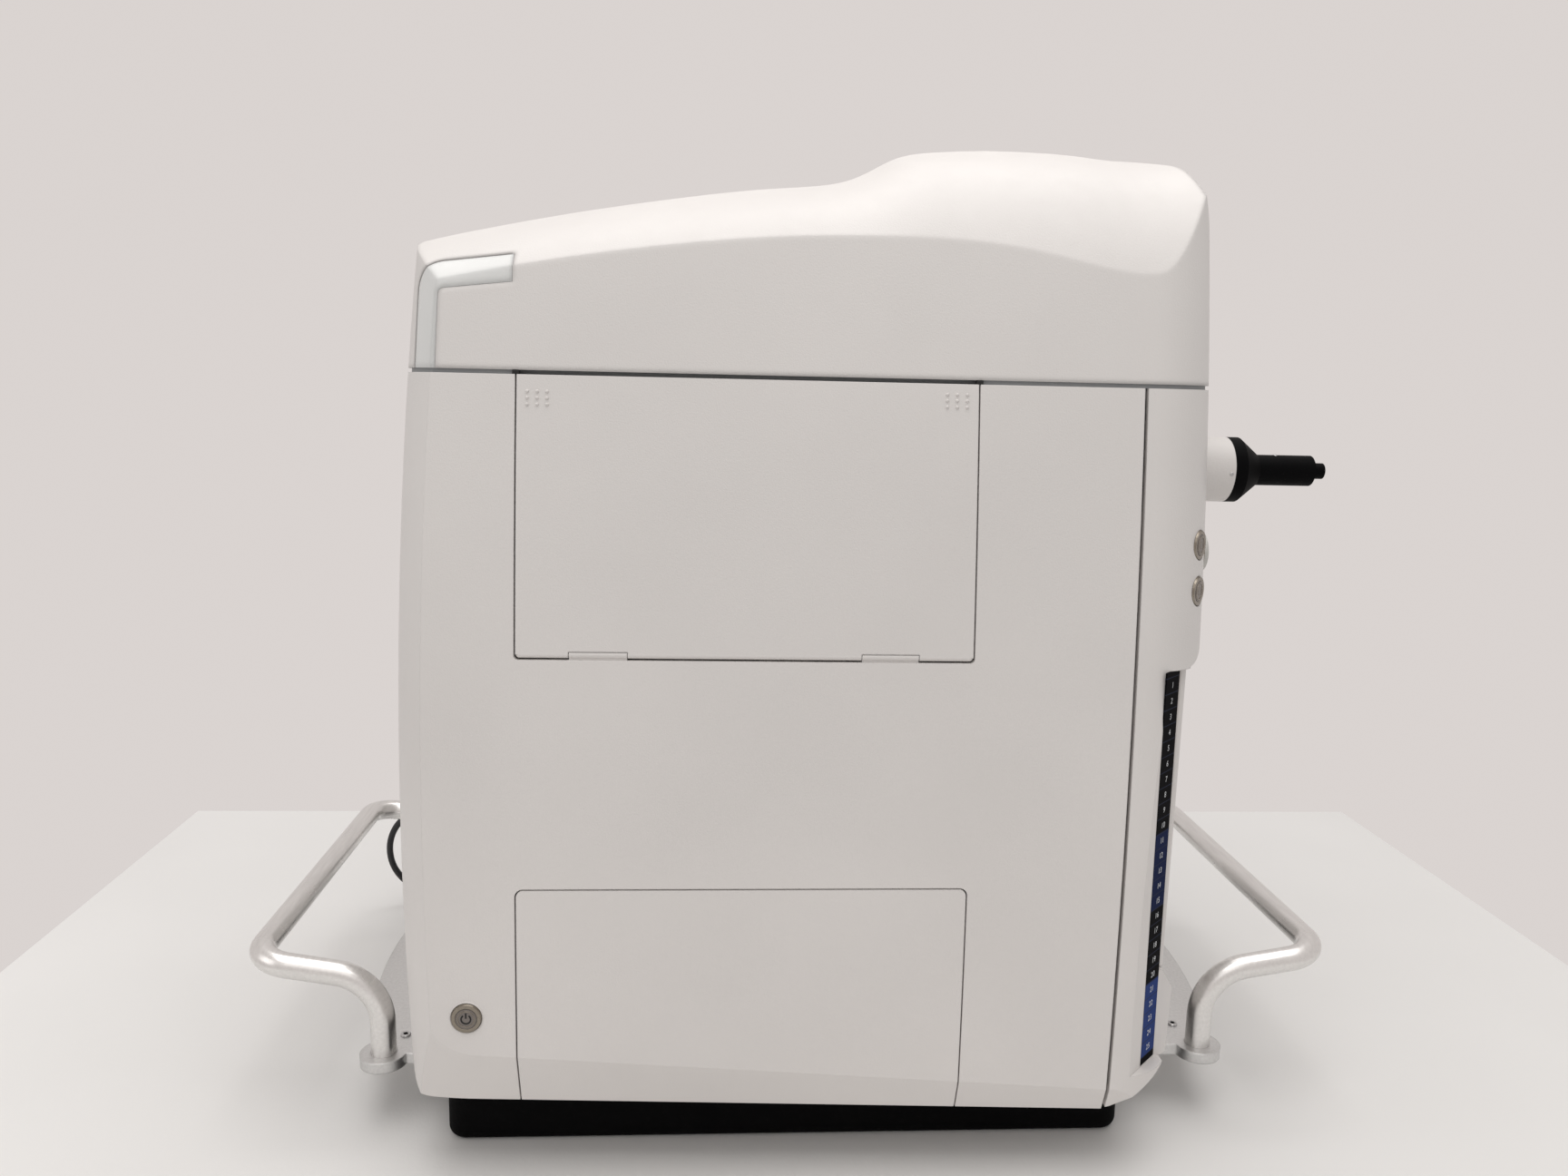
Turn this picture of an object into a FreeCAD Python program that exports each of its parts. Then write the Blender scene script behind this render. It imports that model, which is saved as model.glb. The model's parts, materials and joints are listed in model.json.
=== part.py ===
import FreeCAD, Part
import math
import os

V = FreeCAD.Vector

# ---------------------------------------------------------------- driving dimensions, mm
# Frame: +Z up from the table, -Y is the wide service side, +X is the loading side.
# The origin lies on the table under the middle of the base.

# Housing. The wide front leans back as one large arc; both ends bulge slightly.
FACE_Y = -274.5          # foremost line of the front
FACE_R = 3300.0          # radius of the front's lean
BELLY_Z = 71.0           # height of the foremost line
LEFT_X = -310.0          # widest place of the left end
LEFT_WIDE_Z = 330.0      # and its height
LEFT_BULGE_R = 5200.0
RIGHT_X = 298.5          # widest place of the right end
RIGHT_WIDE_Z = 620.0
RIGHT_BULGE_R = 14000.0
BACK_Y = 232.0
COVER_WALL = 5.5
ROLL_R = 92.0            # roll between the front and the left end
ROLL_CUT = 24.7          # how far the front cuts into that roll
RIGHT_ROLL_R = 55.0      # roll between the front and the right end
LEFT_FOOT_R = 25.0       # lower corners, seen from the front
RIGHT_FOOT_R = 22.0
RIGHT_FOOT_Z = 91.0      # the right corner is cut off below this height
RIGHT_FOOT_X = 230.0     # from here outwards
BACK_R = 14.0
UNDER_LEFT_Z = 66.0      # underside of the front cover at its left end
UNDER_SLOPE = -0.0201    # and its fall to the right
UNDER_RIGHT_Z = 57.0     # underside of the loading column
CHIN_X = -280.3          # the front ends below and on the left in a rounded crease
CHIN_Z = 113.0           # height of the crease at that end
CHIN_SLOPE = -0.0737
CHIN_CORNER_R = 38.0
CHIN_LEAN = 0.35         # the chin below the crease recedes by this much per mm
SEAM_Z = 600.5           # top of the lower covers
SEAM_GAP = 3.0
FRONT_SEAM_TOP_X = 234.6
FRONT_SEAM_LOW_X = 227.6
FRONT_SEAM_GAP = 2.6
BACK_COVER_Y = 214.0
SHELL_GAP = 1.2          # between neighbouring covers

# Top cover
CREST = ((-330.0, 650.0), (-217.0, 675.6), (-130.0, 690.0), (-44.0, 699.8), (43.0, 703.6),
         (131.0, 699.9), (191.0, 688.8), (240.0, 682.5), (282.0, 694.7), (330.0, 712.0))
ROOF_RISE = ((-330.0, 47.0), (-290.0, 49.0), (-218.0, 50.0), (-126.0, 52.0), (-34.0, 55.0), (16.0, 57.0),
             (42.0, 68.0), (68.0, 82.0), (100.0, 89.0), (137.0, 95.0), (207.0, 108.0), (240.0, 108.0),
             (267.0, 102.0), (298.0, 92.0), (330.0, 80.0))
ROOF_LEAN = 48.0         # how quickly the roof rolls back behind its crest
ROOF_BACK_ROLL = 60.0
ROOF_BACK_DROP = 46.0
ROOF_WALL = 7.0
HUMP_SIDE_Z = 700.0      # where the hump's end starts to lean in
HUMP_LEAN = 19.5
HUMP_LEAN_HIGH = 70.0
HUMP_CORNER_R = 13.0
LEFT_SIDE_Z = 668.0      # and where the rounded corner above the left end starts
LEFT_SHOULDER_R = 20.0

# Light bar in the upper left corner
LIGHT_OUT_X = -288.5
LIGHT_TOP_Z = 684.0
LIGHT_CORNER_R = 22.0
LIGHT_WIDE = 18.0
LIGHT_RISE = 8.0         # its upper arm climbs with the crest
LIGHT_END_X = -218.0
LIGHT_DEEP = 12.0
LIGHT_GAP = 0.3

# Flap over the microscope and the service panel under it
FLAP_LEFT_X = -215.5
FLAP_RIGHT_X = 113.2
FLAP_LOW_Z = 402.0
FLAP_CORNER_R = 3.2       # lower corners of the window; the flap's own follow its round edge
FLAP_GAP = 1.1
PANEL_TOP_Z = 236.0
PANEL_CORNER_R = 6.0
PANEL_GAP = 1.0
PANEL_PULL = 60.0
KNUCKLE_CENTRES = (-156.5, 52.0)
KNUCKLE_WIDE = 41.0
KNUCKLE_GAP = 0.4
HINGE_PIN_R = 1.4
PIN_PLAY = 0.05
PIN_REACH = 9.0

# Loading column
HEAD_LOW_Z = 397.0
HEAD_CORNER_R = 27.0
STRIP_X = 255.5          # at its lower end
STRIP_DRIFT = -0.0096    # and how it drifts with the height
STRIP_Y = -262.0
STRIP_ANGLE = 45.0       # of the number strip against the front
STRIP_LOW_Z = 86.0
STRIP_WIDE = 22.0
STRIP_THICK = 1.2
STRIP_RECESS = 0.9
STRIP_SLANT = 26.0       # width of the slanted face that carries it
RECESS_X = 270.0         # floor of the door recess
RECESS_BACK_Y = 196.0
FOOT_TOP_Z = 157.0
FINGER_DISH_X = 276.0    # slanted dish under the door's free edge
FINGER_DISH_Y = -100.0
FOOT_BULGE_R = 45.0
COLUMN_WALL = 8.0
BAY_Y = (-205.0, -85.0)
BAY_Z = (92.0, 393.0)
DOOR_OUT_X = 290.0
DOOR_IN_X = 272.0
DOOR_SKIN = 4.0
DOOR_FRONT_Y = -240.5
DOOR_GAP = 1.5
DOOR_AXIS = (284.0, 188.0)
DOOR_EDGE_R = 6.0
DOOR_PIN_R = 3.0
DOOR_PIN_LONG = 12.0

# Base
BASE_X = (-282.0, 262.0)
BASE_Y = 216.0
BASE_TOP_Z = 62.0
BASE_SIDE_Z = 76.0       # top of its wall on the loading side
BASE_WALL = 8.0
BASE_CLEAR = 3.0         # between the base and the covers round it
BASE_CORNER_R = 16.0
BASE_EDGE_R = 8.0
PAD_R = 22.0
PAD_DEEP = 3.0

# Chassis
PLATE_THICK = 12.0
POST = 30.0
RING_HIGH = 10.0
RING_INSET = 9.0
NECK_INSET = 2.5         # strip in the seam that the top cover stands on

# Carrying handles
HANDLE_X = 440.0         # bar
HANDLE_Y = 176.0
HANDLE_Z = 135.0
HANDLE_LOW_Z = 118.0     # inner end of the slanted arm
HANDLE_FOOT_X = 339.0
HANDLE_R = 10.0
HANDLE_BEND = 43.0       # above the legs
BAR_BEND = 28.0          # at the ends of the bar
BRACKET_LOW_Z = 46.0
BRACKET_THICK = 9.0
BRACKET_LOBE_R = 19.0
BRACKET_BOW_X = 378.0
SOCKET_HIGH = 5.0

# Light guide adapter
ADAPTER_Y = -125.0
ADAPTER_Z = 537.0
TUBE_R = 26.5
TUBE_OUT_X = 342.0
COLLAR_LONG = 10.0
CONE_LONG = 16.0
BARREL_R = 12.5
BARREL_OUT_X = 415.0
NOSE_R = 6.5
NOSE_OUT_X = 426.0

# Buttons
BEZEL_R = 11.3
BEZEL_HIGH = 1.6
CAP_R = 7.6
BUTTON_PLAY = 0.3
BUTTON_TRAVEL = 1.5
BUTTON_LONG = 14.0
POWER_AT = (-250.8, 139.0)
CONTROL_Z = (487.0, 453.0)
CONTROL_ANGLE = 49.0
SPOT_DEEP = 1.2          # flat sunk into the round corner under a bezel
SIDE_BUTTON_AT = (-182.0, 476.0)
SIDE_RING_R = 19.0
SIDE_CAP_R = 15.5
SIDE_TRAVEL = 2.5

# Slide magazine and lift
TRAY_COUNT = 25
TRAY_PITCH = 12.0
TRAY_TOP_Z = 386.0       # middle of the label of the first place
TRAY_LONG = 128.0
TRAY_DEEP = 92.0
TRAY_THICK = 5.0
TRAY_RIM = 2.6
SLIDE_X = 26.0
SLIDE_Y = 76.0
SLIDE_THICK = 1.0
SLIDE_COUNT = 4
SLIDE_PITCH = 29.5
RACK_X = 122.0           # inner end of the trays
RACK_WALL = 3.0
RACK_GAP = 0.5
RACK_LEDGE = 5.0
RACK_LEDGE_THICK = 2.0
TRAY_Y = -145.0          # middle of the trays
LIFT_X = 5.0
LIFT_LONG = 112.0
ROD_R = 5.0
ROD_Y = -72.0
ROD_TOP_Z = 428.0
SCREW_R = 6.0
SCREW_LEAD = 10.0
LIFT_THICK = 8.0
LIFT_TRAVEL = TRAY_PITCH * (TRAY_COUNT - 1)

# Microscope
OPTIC_X = -110.0
OPTIC_Y = -60.0
STAGE_Z = 370.0
STAGE_THICK = 7.0
STAGE_TRAVEL_X = 40.0
STAGE_TRAVEL_Y = 30.0
SLIDE_FIT = 0.3
DECK_THICK = 12.0
STAND_X = (-170.0, -40.0)
STAND_Y = (90.0, 190.0)
APEX_HIGH = 110.0        # apex of the objectives' cone above their shoulders
OBJECTIVE_LONG = 50.0
OBJECTIVE_R = 12.0
OBJECTIVE_TIP_R = 5.0
TIP_ABOVE_STAGE = 14.0
TURRET_TILT = 15.0
TURRET_PLACES = 6
TURRET_R = 43.0
FOCUS_TRAVEL = (-6.0, 12.0)
ARM_LOW_Z = 508.0
ARM_HIGH_Z = 560.0
CAMERA_HIGH = 84.0
CAMERA_WIDE = 76.0
CONDENSER_R = 20.0

# Fan in the back
FAN_AT = (-165.0, 190.0)
FAN_R = 55.0
FAN_FRAME = 120.0
FAN_DEEP = 25.0
FAN_BLADES = 7
VENT_WIDE = 4.0
VENT_PITCH = 9.0

# Mains inlet and lead
INLET_Y = 200.0
INLET_Z = 124.0
INLET_WIDE = 28.0
INLET_HIGH = 22.0
PLUG_LONG = 42.0
RELIEF_LONG = 30.0
CORD_R = 3.5
CORD_SIDES = 10

# ---------------------------------------------------------------- helpers


def line(a, b):
    return Part.LineSegment(a, b).toShape()


def rounded(points, place):
    """Face in the XY, XZ or YZ plane from (a, b, corner radius) points."""
    edges = []
    count = len(points)
    ends = []
    for i in range(count):
        ax, ay, _ = points[i - 1]
        bx, by, radius = points[i]
        cx, cy, _ = points[(i + 1) % count]
        back = FreeCAD.Vector(ax - bx, ay - by, 0)
        ahead = FreeCAD.Vector(cx - bx, cy - by, 0)
        here = FreeCAD.Vector(bx, by, 0)
        if radius <= 0:
            ends.append((here, here, None))
            continue
        back.normalize()
        ahead.normalize()
        half = back.getAngle(ahead) / 2
        reach = radius / math.tan(half)
        middle = back + ahead
        middle.normalize()
        top = here + middle * (radius / math.sin(half) - radius)
        ends.append((here + back * reach, here + ahead * reach, top))
    for i in range(count):
        start, stop, top = ends[i]
        if top is not None:
            edges.append(Part.Arc(place(start), place(top), place(stop)).toShape())
        after = ends[(i + 1) % count][0]
        if (after - stop).Length > 1e-6:
            edges.append(line(place(stop), place(after)))
    return Part.Face(Part.Wire(edges))


def prism_z(points, low, high):
    face = rounded(points, lambda p: V(p.x, p.y, low))
    return face.extrude(V(0, 0, high - low))


def prism_y(points, low, high):
    face = rounded(points, lambda p: V(p.x, low, p.y))
    return face.extrude(V(0, high - low, 0))


def prism_x(points, low, high):
    face = rounded(points, lambda p: V(low, p.x, p.y))
    return face.extrude(V(high - low, 0, 0))


def rectangle(x0, x1, y0, y1, radius=0.0):
    return [(x0, y0, radius), (x1, y0, radius), (x1, y1, radius), (x0, y1, radius)]


def box(x0, x1, y0, y1, z0, z1):
    return Part.makeBox(x1 - x0, y1 - y0, z1 - z0, V(x0, y0, z0))


def rod(radius, start, direction, length):
    return Part.makeCylinder(radius, length, start, direction)


def turned(profile, start, direction):
    """Solid of revolution from (along, radius) points about a line."""
    points = [V(r, 0, along) for along, r in profile]
    points.append(points[0])
    solid = Part.Face(Part.makePolygon(points)).revolve(V(0, 0, 0), V(0, 0, 1), 360)
    solid.Placement = FreeCAD.Placement(start, FreeCAD.Rotation(V(0, 0, 1), direction))
    return solid


def union(shapes):
    shapes = list(shapes)
    result = shapes[0]
    if len(shapes) > 1:
        result = result.fuse(shapes[1:])
    return result.removeSplitter()


def group(shapes):
    return Part.makeCompound(list(shapes))


def save(name, shape):
    shape.exportStep("parts/" + name + ".step")


def table(pairs, x):
    """Straight-line value of a table at x."""
    for (x0, y0), (x1, y1) in zip(pairs, pairs[1:]):
        if x <= x1:
            return y0 + (y1 - y0) * (x - x0) / (x1 - x0)
    return pairs[-1][1]


# ---------------------------------------------------------------- housing form


def face_y(z):
    return FACE_Y + (z - BELLY_Z) ** 2 / (2 * FACE_R)


def left_x(z):
    return LEFT_X + (z - LEFT_WIDE_Z) ** 2 / (2 * LEFT_BULGE_R)


def right_x(z):
    return RIGHT_X - (z - RIGHT_WIDE_Z) ** 2 / (2 * RIGHT_BULGE_R)


def front_seam_x(z):
    return FRONT_SEAM_LOW_X + (FRONT_SEAM_TOP_X - FRONT_SEAM_LOW_X) * (z - BELLY_Z) / (SEAM_Z - BELLY_Z)


FAR = 420.0
LOW = 30.0
HIGH = 900.0


def behind_face(shift, back=BACK_Y):
    """All that lies behind the leaning front, moved back by shift."""
    def at(z):
        return V(-FAR - 80, face_y(z) + shift, z)
    wire = Part.Wire([
        Part.Arc(at(LOW), at((LOW + HIGH) / 2), at(HIGH)).toShape(),
        line(at(HIGH), V(-FAR - 80, back, HIGH)),
        line(V(-FAR - 80, back, HIGH), V(-FAR - 80, back, LOW)),
        line(V(-FAR - 80, back, LOW), at(LOW))])
    return Part.Face(wire).extrude(V(2 * FAR + 160, 0, 0))


def end_block(edge, far):
    """Front view of one end with its bulged edge, extruded along Y."""
    def at(z):
        return V(edge(z), -FAR, z)
    wire = Part.Wire([
        Part.Arc(at(LOW), at((LOW + HIGH) / 2), at(HIGH)).toShape(),
        line(at(HIGH), V(far, -FAR, HIGH)),
        line(V(far, -FAR, HIGH), V(far, -FAR, LOW)),
        line(V(far, -FAR, LOW), at(LOW))])
    return Part.Face(wire).extrude(V(0, 2 * FAR, 0))


def edges_where(shape, test):
    return [e for e in shape.Edges if test(e.BoundBox)]


def chin_frame(inset):
    """Start of the crease's straight run, its direction, down across it, and the lean's slip."""
    along = V(1.0, 0, CHIN_SLOPE).normalize()
    down = V(along.z, 0, -along.x)
    slip = inset * (math.hypot(1.0, CHIN_LEAN) - 1.0) / CHIN_LEAN
    turn = math.tan((math.pi / 2 - math.atan(CHIN_SLOPE)) / 2)
    start = V(CHIN_X, FACE_Y + inset, CHIN_Z) + along * (CHIN_CORNER_R / turn)
    return start - down * slip, along, down, slip


def before_chin(inset):
    """What lies in front of the chin below the crease."""
    start, along, down, _ = chin_frame(inset)
    long = 200.0
    front = V(0, -FAR, 0)
    foot = start + down * long
    deep = foot + V(0, long * CHIN_LEAN, 0)
    section = Part.Face(Part.makePolygon([start, deep, foot + front, start + front, start]))
    return section.extrude(along * (2 * FAR))


def beside_chin(inset):
    """The same round the lower left corner of the crease, where the chin is a cone."""
    start, along, down, slip = chin_frame(inset)
    radius = CHIN_CORNER_R - slip
    centre = start - down * radius
    far = 150.0
    deep = far * math.sqrt(2.0) * CHIN_LEAN
    corner = centre + down * far
    quarter = prism_y([(centre.x, centre.z, 0), (centre.x - far, centre.z, 0), (centre.x - far, corner.z, 0),
                       (corner.x, corner.z, 0)], -FAR, centre.y + deep)
    cone = Part.makeCone(radius, radius + deep / CHIN_LEAN, deep, centre, V(0, 1, 0))
    return quarter.cut(cone)


def below_left(inset):
    """What lies under the slanted underside and outside its rounded left corner."""
    z = UNDER_LEFT_Z + inset
    top = UNDER_LEFT_Z + 60.0
    end = z + UNDER_SLOPE * (FAR - LEFT_X)
    return prism_y([(-FAR - 90, top, 0), (left_x(top) - 3.0 + inset, top, 0),
                    (left_x(UNDER_LEFT_Z) + 1.2 + inset, z, LEFT_FOOT_R - inset), (FAR, end, 0),
                    (FAR, LOW - 20, 0), (-FAR - 90, LOW - 20, 0)], -FAR, FAR)


def below_right(inset):
    """What lies under the loading column and its slanted outer corner."""
    z = UNDER_RIGHT_Z + inset
    top = UNDER_RIGHT_Z + 103.0
    return prism_y([(FAR + 90, top, 0), (right_x(top) + 0.6 - inset, top, 0),
                    (right_x(RIGHT_FOOT_Z) - 0.1 - inset, RIGHT_FOOT_Z + inset, RIGHT_FOOT_R - inset),
                    (RIGHT_FOOT_X, z, 12.0), (-FAR, z, 0), (-FAR, LOW - 20, 0), (FAR + 90, LOW - 20, 0)],
                   -FAR, FAR)


def left_form(inset=0.0):
    """Left end rolled into the front, above the chin and the slanted underside."""
    form = end_block(lambda z: left_x(z) + inset, FAR)
    form = form.common(behind_face(inset - ROLL_CUT, BACK_Y - inset))
    tall = edges_where(form, lambda b: b.ZLength > 600 and b.XMax < -200 and b.YMax < 0)
    form = form.makeFillet(ROLL_R - inset, tall)
    rear = edges_where(form, lambda b: b.ZLength > 600 and b.XMax < -200 and b.YMin > 100)
    form = form.makeFillet(BACK_R - inset, rear)
    form = form.common(behind_face(inset))
    return form.cut([before_chin(inset), beside_chin(inset), below_left(inset)])


def right_form(inset=0.0):
    """Right end rolled into the front, above the underside of the loading column."""
    form = end_block(lambda z: right_x(z) - inset, -FAR)
    form = form.common(behind_face(inset, BACK_Y - inset))
    tall = edges_where(form, lambda b: b.ZLength > 600 and b.XMin > 200 and b.YMax < 0)
    form = form.makeFillet(RIGHT_ROLL_R - inset, tall)
    rear = edges_where(form, lambda b: b.ZLength > 600 and b.XMin > 200 and b.YMin > 100)
    form = form.makeFillet(BACK_R - inset, rear)
    return form.cut([before_chin(inset), below_right(inset)])


def left_of_seam(gap, low, high):
    """Everything on the front cover's side of the seam beside the column."""
    return prism_y([(-FAR, low, 0), (front_seam_x(low) - gap, low, 0),
                    (front_seam_x(high) - gap, high, 0), (-FAR, high, 0)], -FAR, FAR)


def right_of_seam(gap, low, high):
    return prism_y([(front_seam_x(low) + gap, low, 0), (FAR, low, 0),
                    (FAR, high, 0), (front_seam_x(high) + gap, high, 0)], -FAR, FAR)


def base_hole():
    return box(BASE_X[0] - BASE_CLEAR, BASE_X[1] + BASE_CLEAR, -BASE_Y - BASE_CLEAR, BASE_Y + BASE_CLEAR,
               0, BASE_TOP_Z + 40)


# ---------------------------------------------------------------- covers


def flap_window(gap, y0, y1):
    x0 = FLAP_LEFT_X + gap
    x1 = FLAP_RIGHT_X - gap
    z0 = FLAP_LOW_Z + gap
    r = FLAP_CORNER_R if gap == 0 else 0
    top = SEAM_Z if gap > 0 else SEAM_Z + 20
    return prism_y([(x0, z0, r), (x1, z0, r), (x1, top, 0), (x0, top, 0)], y0, y1)


def panel_window(gap, y0, y1):
    x0 = FLAP_LEFT_X + gap
    x1 = FLAP_RIGHT_X - gap
    z1 = PANEL_TOP_Z - gap
    r = PANEL_CORNER_R - gap
    return prism_y([(x0, 0, 0), (x1, 0, 0), (x1, z1, r), (x0, z1, r)], y0, y1)


def hinge_line():
    """Height and depth of the flap's hinge axis, in the middle of its wall at its lower edge."""
    z = FLAP_LOW_Z + FLAP_GAP + COVER_WALL / 2
    return z, face_y(z) + COVER_WALL / 2


def front_shell():
    outer = left_form().common(left_of_seam(FRONT_SEAM_GAP / 2, 0, SEAM_Z))
    inner = left_form(COVER_WALL)
    shell = outer.cut(inner)
    shell = shell.cut(base_hole())
    return shell.cut(box(-FAR, FAR, BACK_COVER_Y, FAR, 0, HIGH))


def front_cover(shell):
    cover = shell.cut(flap_window(0, -FAR, -180))
    cover = cover.cut(panel_window(0, -FAR, -BASE_Y + 4))
    x, z = POWER_AT
    hole = rod(CAP_R + 2.2, V(x, face_y(z) - 20, z), V(0, 1, 0), 60)
    cover = cover.cut(hole)
    inlet = box(-FAR, -250, INLET_Y - INLET_WIDE / 2, INLET_Y + INLET_WIDE / 2,
                INLET_Z - INLET_HIGH / 2, INLET_Z + INLET_HIGH / 2)
    cover = cover.cut(inlet)
    z0, y0 = hinge_line()
    tongues = []
    for centre in KNUCKLE_CENTRES:
        half = KNUCKLE_WIDE / 2
        x0 = centre - half
        knuckle = rod(COVER_WALL / 2, V(x0, y0, z0), V(1, 0, 0), 2 * half)
        web = box(x0, x0 + 2 * half, y0 - HINGE_PIN_R, y0 + COVER_WALL / 2, FLAP_LOW_Z - 4, z0)
        tongues += [knuckle, web]
        tongues.append(rod(HINGE_PIN_R, V(x0 - PIN_REACH, y0, z0), V(1, 0, 0), 2 * half + 2 * PIN_REACH))
    return cover.fuse(tongues).removeSplitter()


def front_flap(shell):
    z0, y0 = hinge_line()
    skin = shell.common(flap_window(FLAP_GAP, -FAR, -180))
    half = COVER_WALL / 2
    x0 = FLAP_LEFT_X + FLAP_GAP
    x1 = FLAP_RIGHT_X - FLAP_GAP
    edge = rod(half, V(x0 + half, y0, z0), V(1, 0, 0), x1 - x0 - 2 * half)
    ends = [Part.makeSphere(half, V(x, y0, z0)) for x in (x0 + half, x1 - half)]
    below = box(x0 - 1, x1 + 1, -FAR, -180, FLAP_LOW_Z, z0)
    skin = skin.cut(below).fuse([edge] + ends)
    for centre in KNUCKLE_CENTRES:
        wide = KNUCKLE_WIDE / 2 + KNUCKLE_GAP
        room = rod(half + KNUCKLE_GAP, V(centre - wide, y0, z0), V(1, 0, 0), 2 * wide)
        foot = box(centre - wide, centre + wide, -FAR, -180, FLAP_LOW_Z, z0)
        reach = wide + PIN_REACH
        bore = rod(HINGE_PIN_R + PIN_PLAY, V(centre - reach, y0, z0), V(1, 0, 0), 2 * reach)
        skin = skin.cut([room, foot, bore])
    return skin.removeSplitter()


def service_panel(shell):
    return shell.common(panel_window(PANEL_GAP, -FAR, -BASE_Y + 3 - PANEL_GAP))


def rear_cover():
    low = 62.0
    outer = left_form().common(right_form())
    slab = box(-FAR, FAR, BACK_COVER_Y + SHELL_GAP, FAR, low, SEAM_Z)
    inner = left_form(COVER_WALL).common(right_form(COVER_WALL))
    cover = outer.common(slab).cut(inner)
    cover = cover.cut(fan_vents())
    cover = cover.cut(port_window(0.0))
    return cover


def fan_vents():
    """Upright slots inside the fan's circle."""
    x0, z0 = FAN_AT
    slots = []
    steps = int((FAN_R - VENT_WIDE) / VENT_PITCH)
    for k in range(-steps, steps + 1):
        x = x0 + k * VENT_PITCH
        half = math.sqrt((FAN_R - 3) ** 2 - (x - x0) ** 2)
        slots.append(box(x - VENT_WIDE / 2, x + VENT_WIDE / 2, BACK_Y - 20, BACK_Y + 10, z0 - half, z0 + half))
    return slots


PORT_X = (70.0, 190.0)
PORT_Z = (110.0, 170.0)


def port_window(gap):
    return box(PORT_X[0] + gap, PORT_X[1] - gap, BACK_Y - 30, BACK_Y + 10, PORT_Z[0] + gap, PORT_Z[1] - gap)


def height_on(curve, x):
    """Height of a front-view curve at x, by halving."""
    low = curve.FirstParameter
    high = curve.LastParameter
    for _ in range(40):
        middle = (low + high) / 2
        if curve.value(middle).x < x:
            low = middle
        else:
            high = middle
    return curve.value(low).z


def roof():
    """Roof surface: a crest along the front, rolling back, with a hump on the loading side."""
    xs = [-330, -290, -250, -217, -172, -126, -80, -34, 0, 24, 46, 68, 96, 137, 172, 207, 238, 268, 298, 330]
    depths = [-60, -36, -16, 0, 16, 36, 62, 100, 150, 220, 300, 360, 400, 430, 460]
    crest = Part.BSplineCurve()
    crest.interpolate([V(x, 0, z) for x, z in CREST])
    rows = []
    for depth in depths:
        row = []
        for x in xs:
            z = height_on(crest, x)
            y = face_y(z) + depth
            rise = table(ROOF_RISE, x) * (1 - math.exp(-depth / ROOF_LEAN))
            back = max(0.0, y - (BACK_Y - ROOF_BACK_ROLL)) / ROOF_BACK_ROLL
            fall = ROOF_BACK_DROP * back ** 2
            row.append(V(x, y, z + rise - fall))
        rows.append(row)
    surface = Part.BSplineSurface()
    surface.interpolate(rows)
    return surface.toShape()


def top_shell():
    low = SEAM_Z + SEAM_GAP
    outer = left_form().common(right_form()).common(box(-FAR, FAR, -FAR, FAR, low, HIGH))
    outer = outer.common(roof().extrude(V(0, 0, -400))).cut(shoulders())
    inner = left_form(COVER_WALL).common(right_form(COVER_WALL))
    return outer.cut(inner.common(roof_hollow()))


def roof_hollow():
    """Flat-sided space under the roof, at least a wall's thickness below it."""
    x0 = LEFT_X + 12
    x1 = RIGHT_X - 22
    level = [(x0, LOW, 0), (x1, LOW, 0), (x1, 700.0, 20), (x1 - 34, 750.0, 20), (95.0, 750.0, 30),
             (20.0, 728.0, 30), (-217.0, 691.0, 0), (x0, 652.0, 0)]
    front = face_y(SEAM_Z) + ROOF_WALL
    back = BACK_Y - COVER_WALL
    side = prism_x([(front, LOW, 0), (back, LOW, 0), (back, 658.0, 0), (back - 40, 710.0, 30),
                    (back - 90, 790.0, 60), (front + 88, 790.0, 60), (front + 24, 664.0, 60),
                    (front + 8, 640.0, 0)], -FAR, FAR)
    return prism_y(level, -FAR, FAR).common(side)


def shoulders():
    """What is taken off the two upper ends, seen from the front."""
    x = right_x(HUMP_SIDE_Z) + 0.5
    right = prism_y([(x, HUMP_SIDE_Z, 0), (x - HUMP_LEAN, HUMP_SIDE_Z + HUMP_LEAN_HIGH, HUMP_CORNER_R),
                     (x - 63, HUMP_SIDE_Z + HUMP_LEAN_HIGH + 14, 0), (x - 63, HIGH, 0), (FAR, HIGH, 0),
                     (FAR, HUMP_SIDE_Z, 0)], -FAR, FAR)
    x = left_x(LEFT_SIDE_Z) - 0.5
    left = prism_y([(x, LEFT_SIDE_Z, 0), (x + 2, LEFT_SIDE_Z + 36, LEFT_SHOULDER_R), (x + 70, LEFT_SIDE_Z + 53, 0),
                    (x + 70, HIGH, 0), (-FAR, HIGH, 0), (-FAR, LEFT_SIDE_Z, 0)], -FAR, FAR)
    return [right, left]


def light_outline(gap, y0, y1):
    """Front view of the angled light bar, drawn in by gap on its long sides."""
    low = SEAM_Z + SEAM_GAP
    left = LIGHT_OUT_X + gap
    right = LIGHT_OUT_X + LIGHT_WIDE - gap
    end = LIGHT_END_X - gap
    top_left = LIGHT_TOP_Z - LIGHT_RISE - gap
    under = LIGHT_WIDE - 2 * gap
    points = [(left, low, 0), (right, low, 0),
              (right + 1.5, top_left - under, LIGHT_CORNER_R - LIGHT_WIDE + gap),
              (end, LIGHT_TOP_Z - gap - under - 2.0, 0), (end, LIGHT_TOP_Z - gap, 0),
              (left + 1.5, top_left, LIGHT_CORNER_R - gap)]
    return prism_y(points, y0, y1)


def status_light(shell):
    return shell.common(light_outline(LIGHT_GAP, -FAR, -195))


def top_cover(shell):
    return shell.cut(light_outline(0.0, -FAR, -194))


# ---------------------------------------------------------------- loading column


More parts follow.
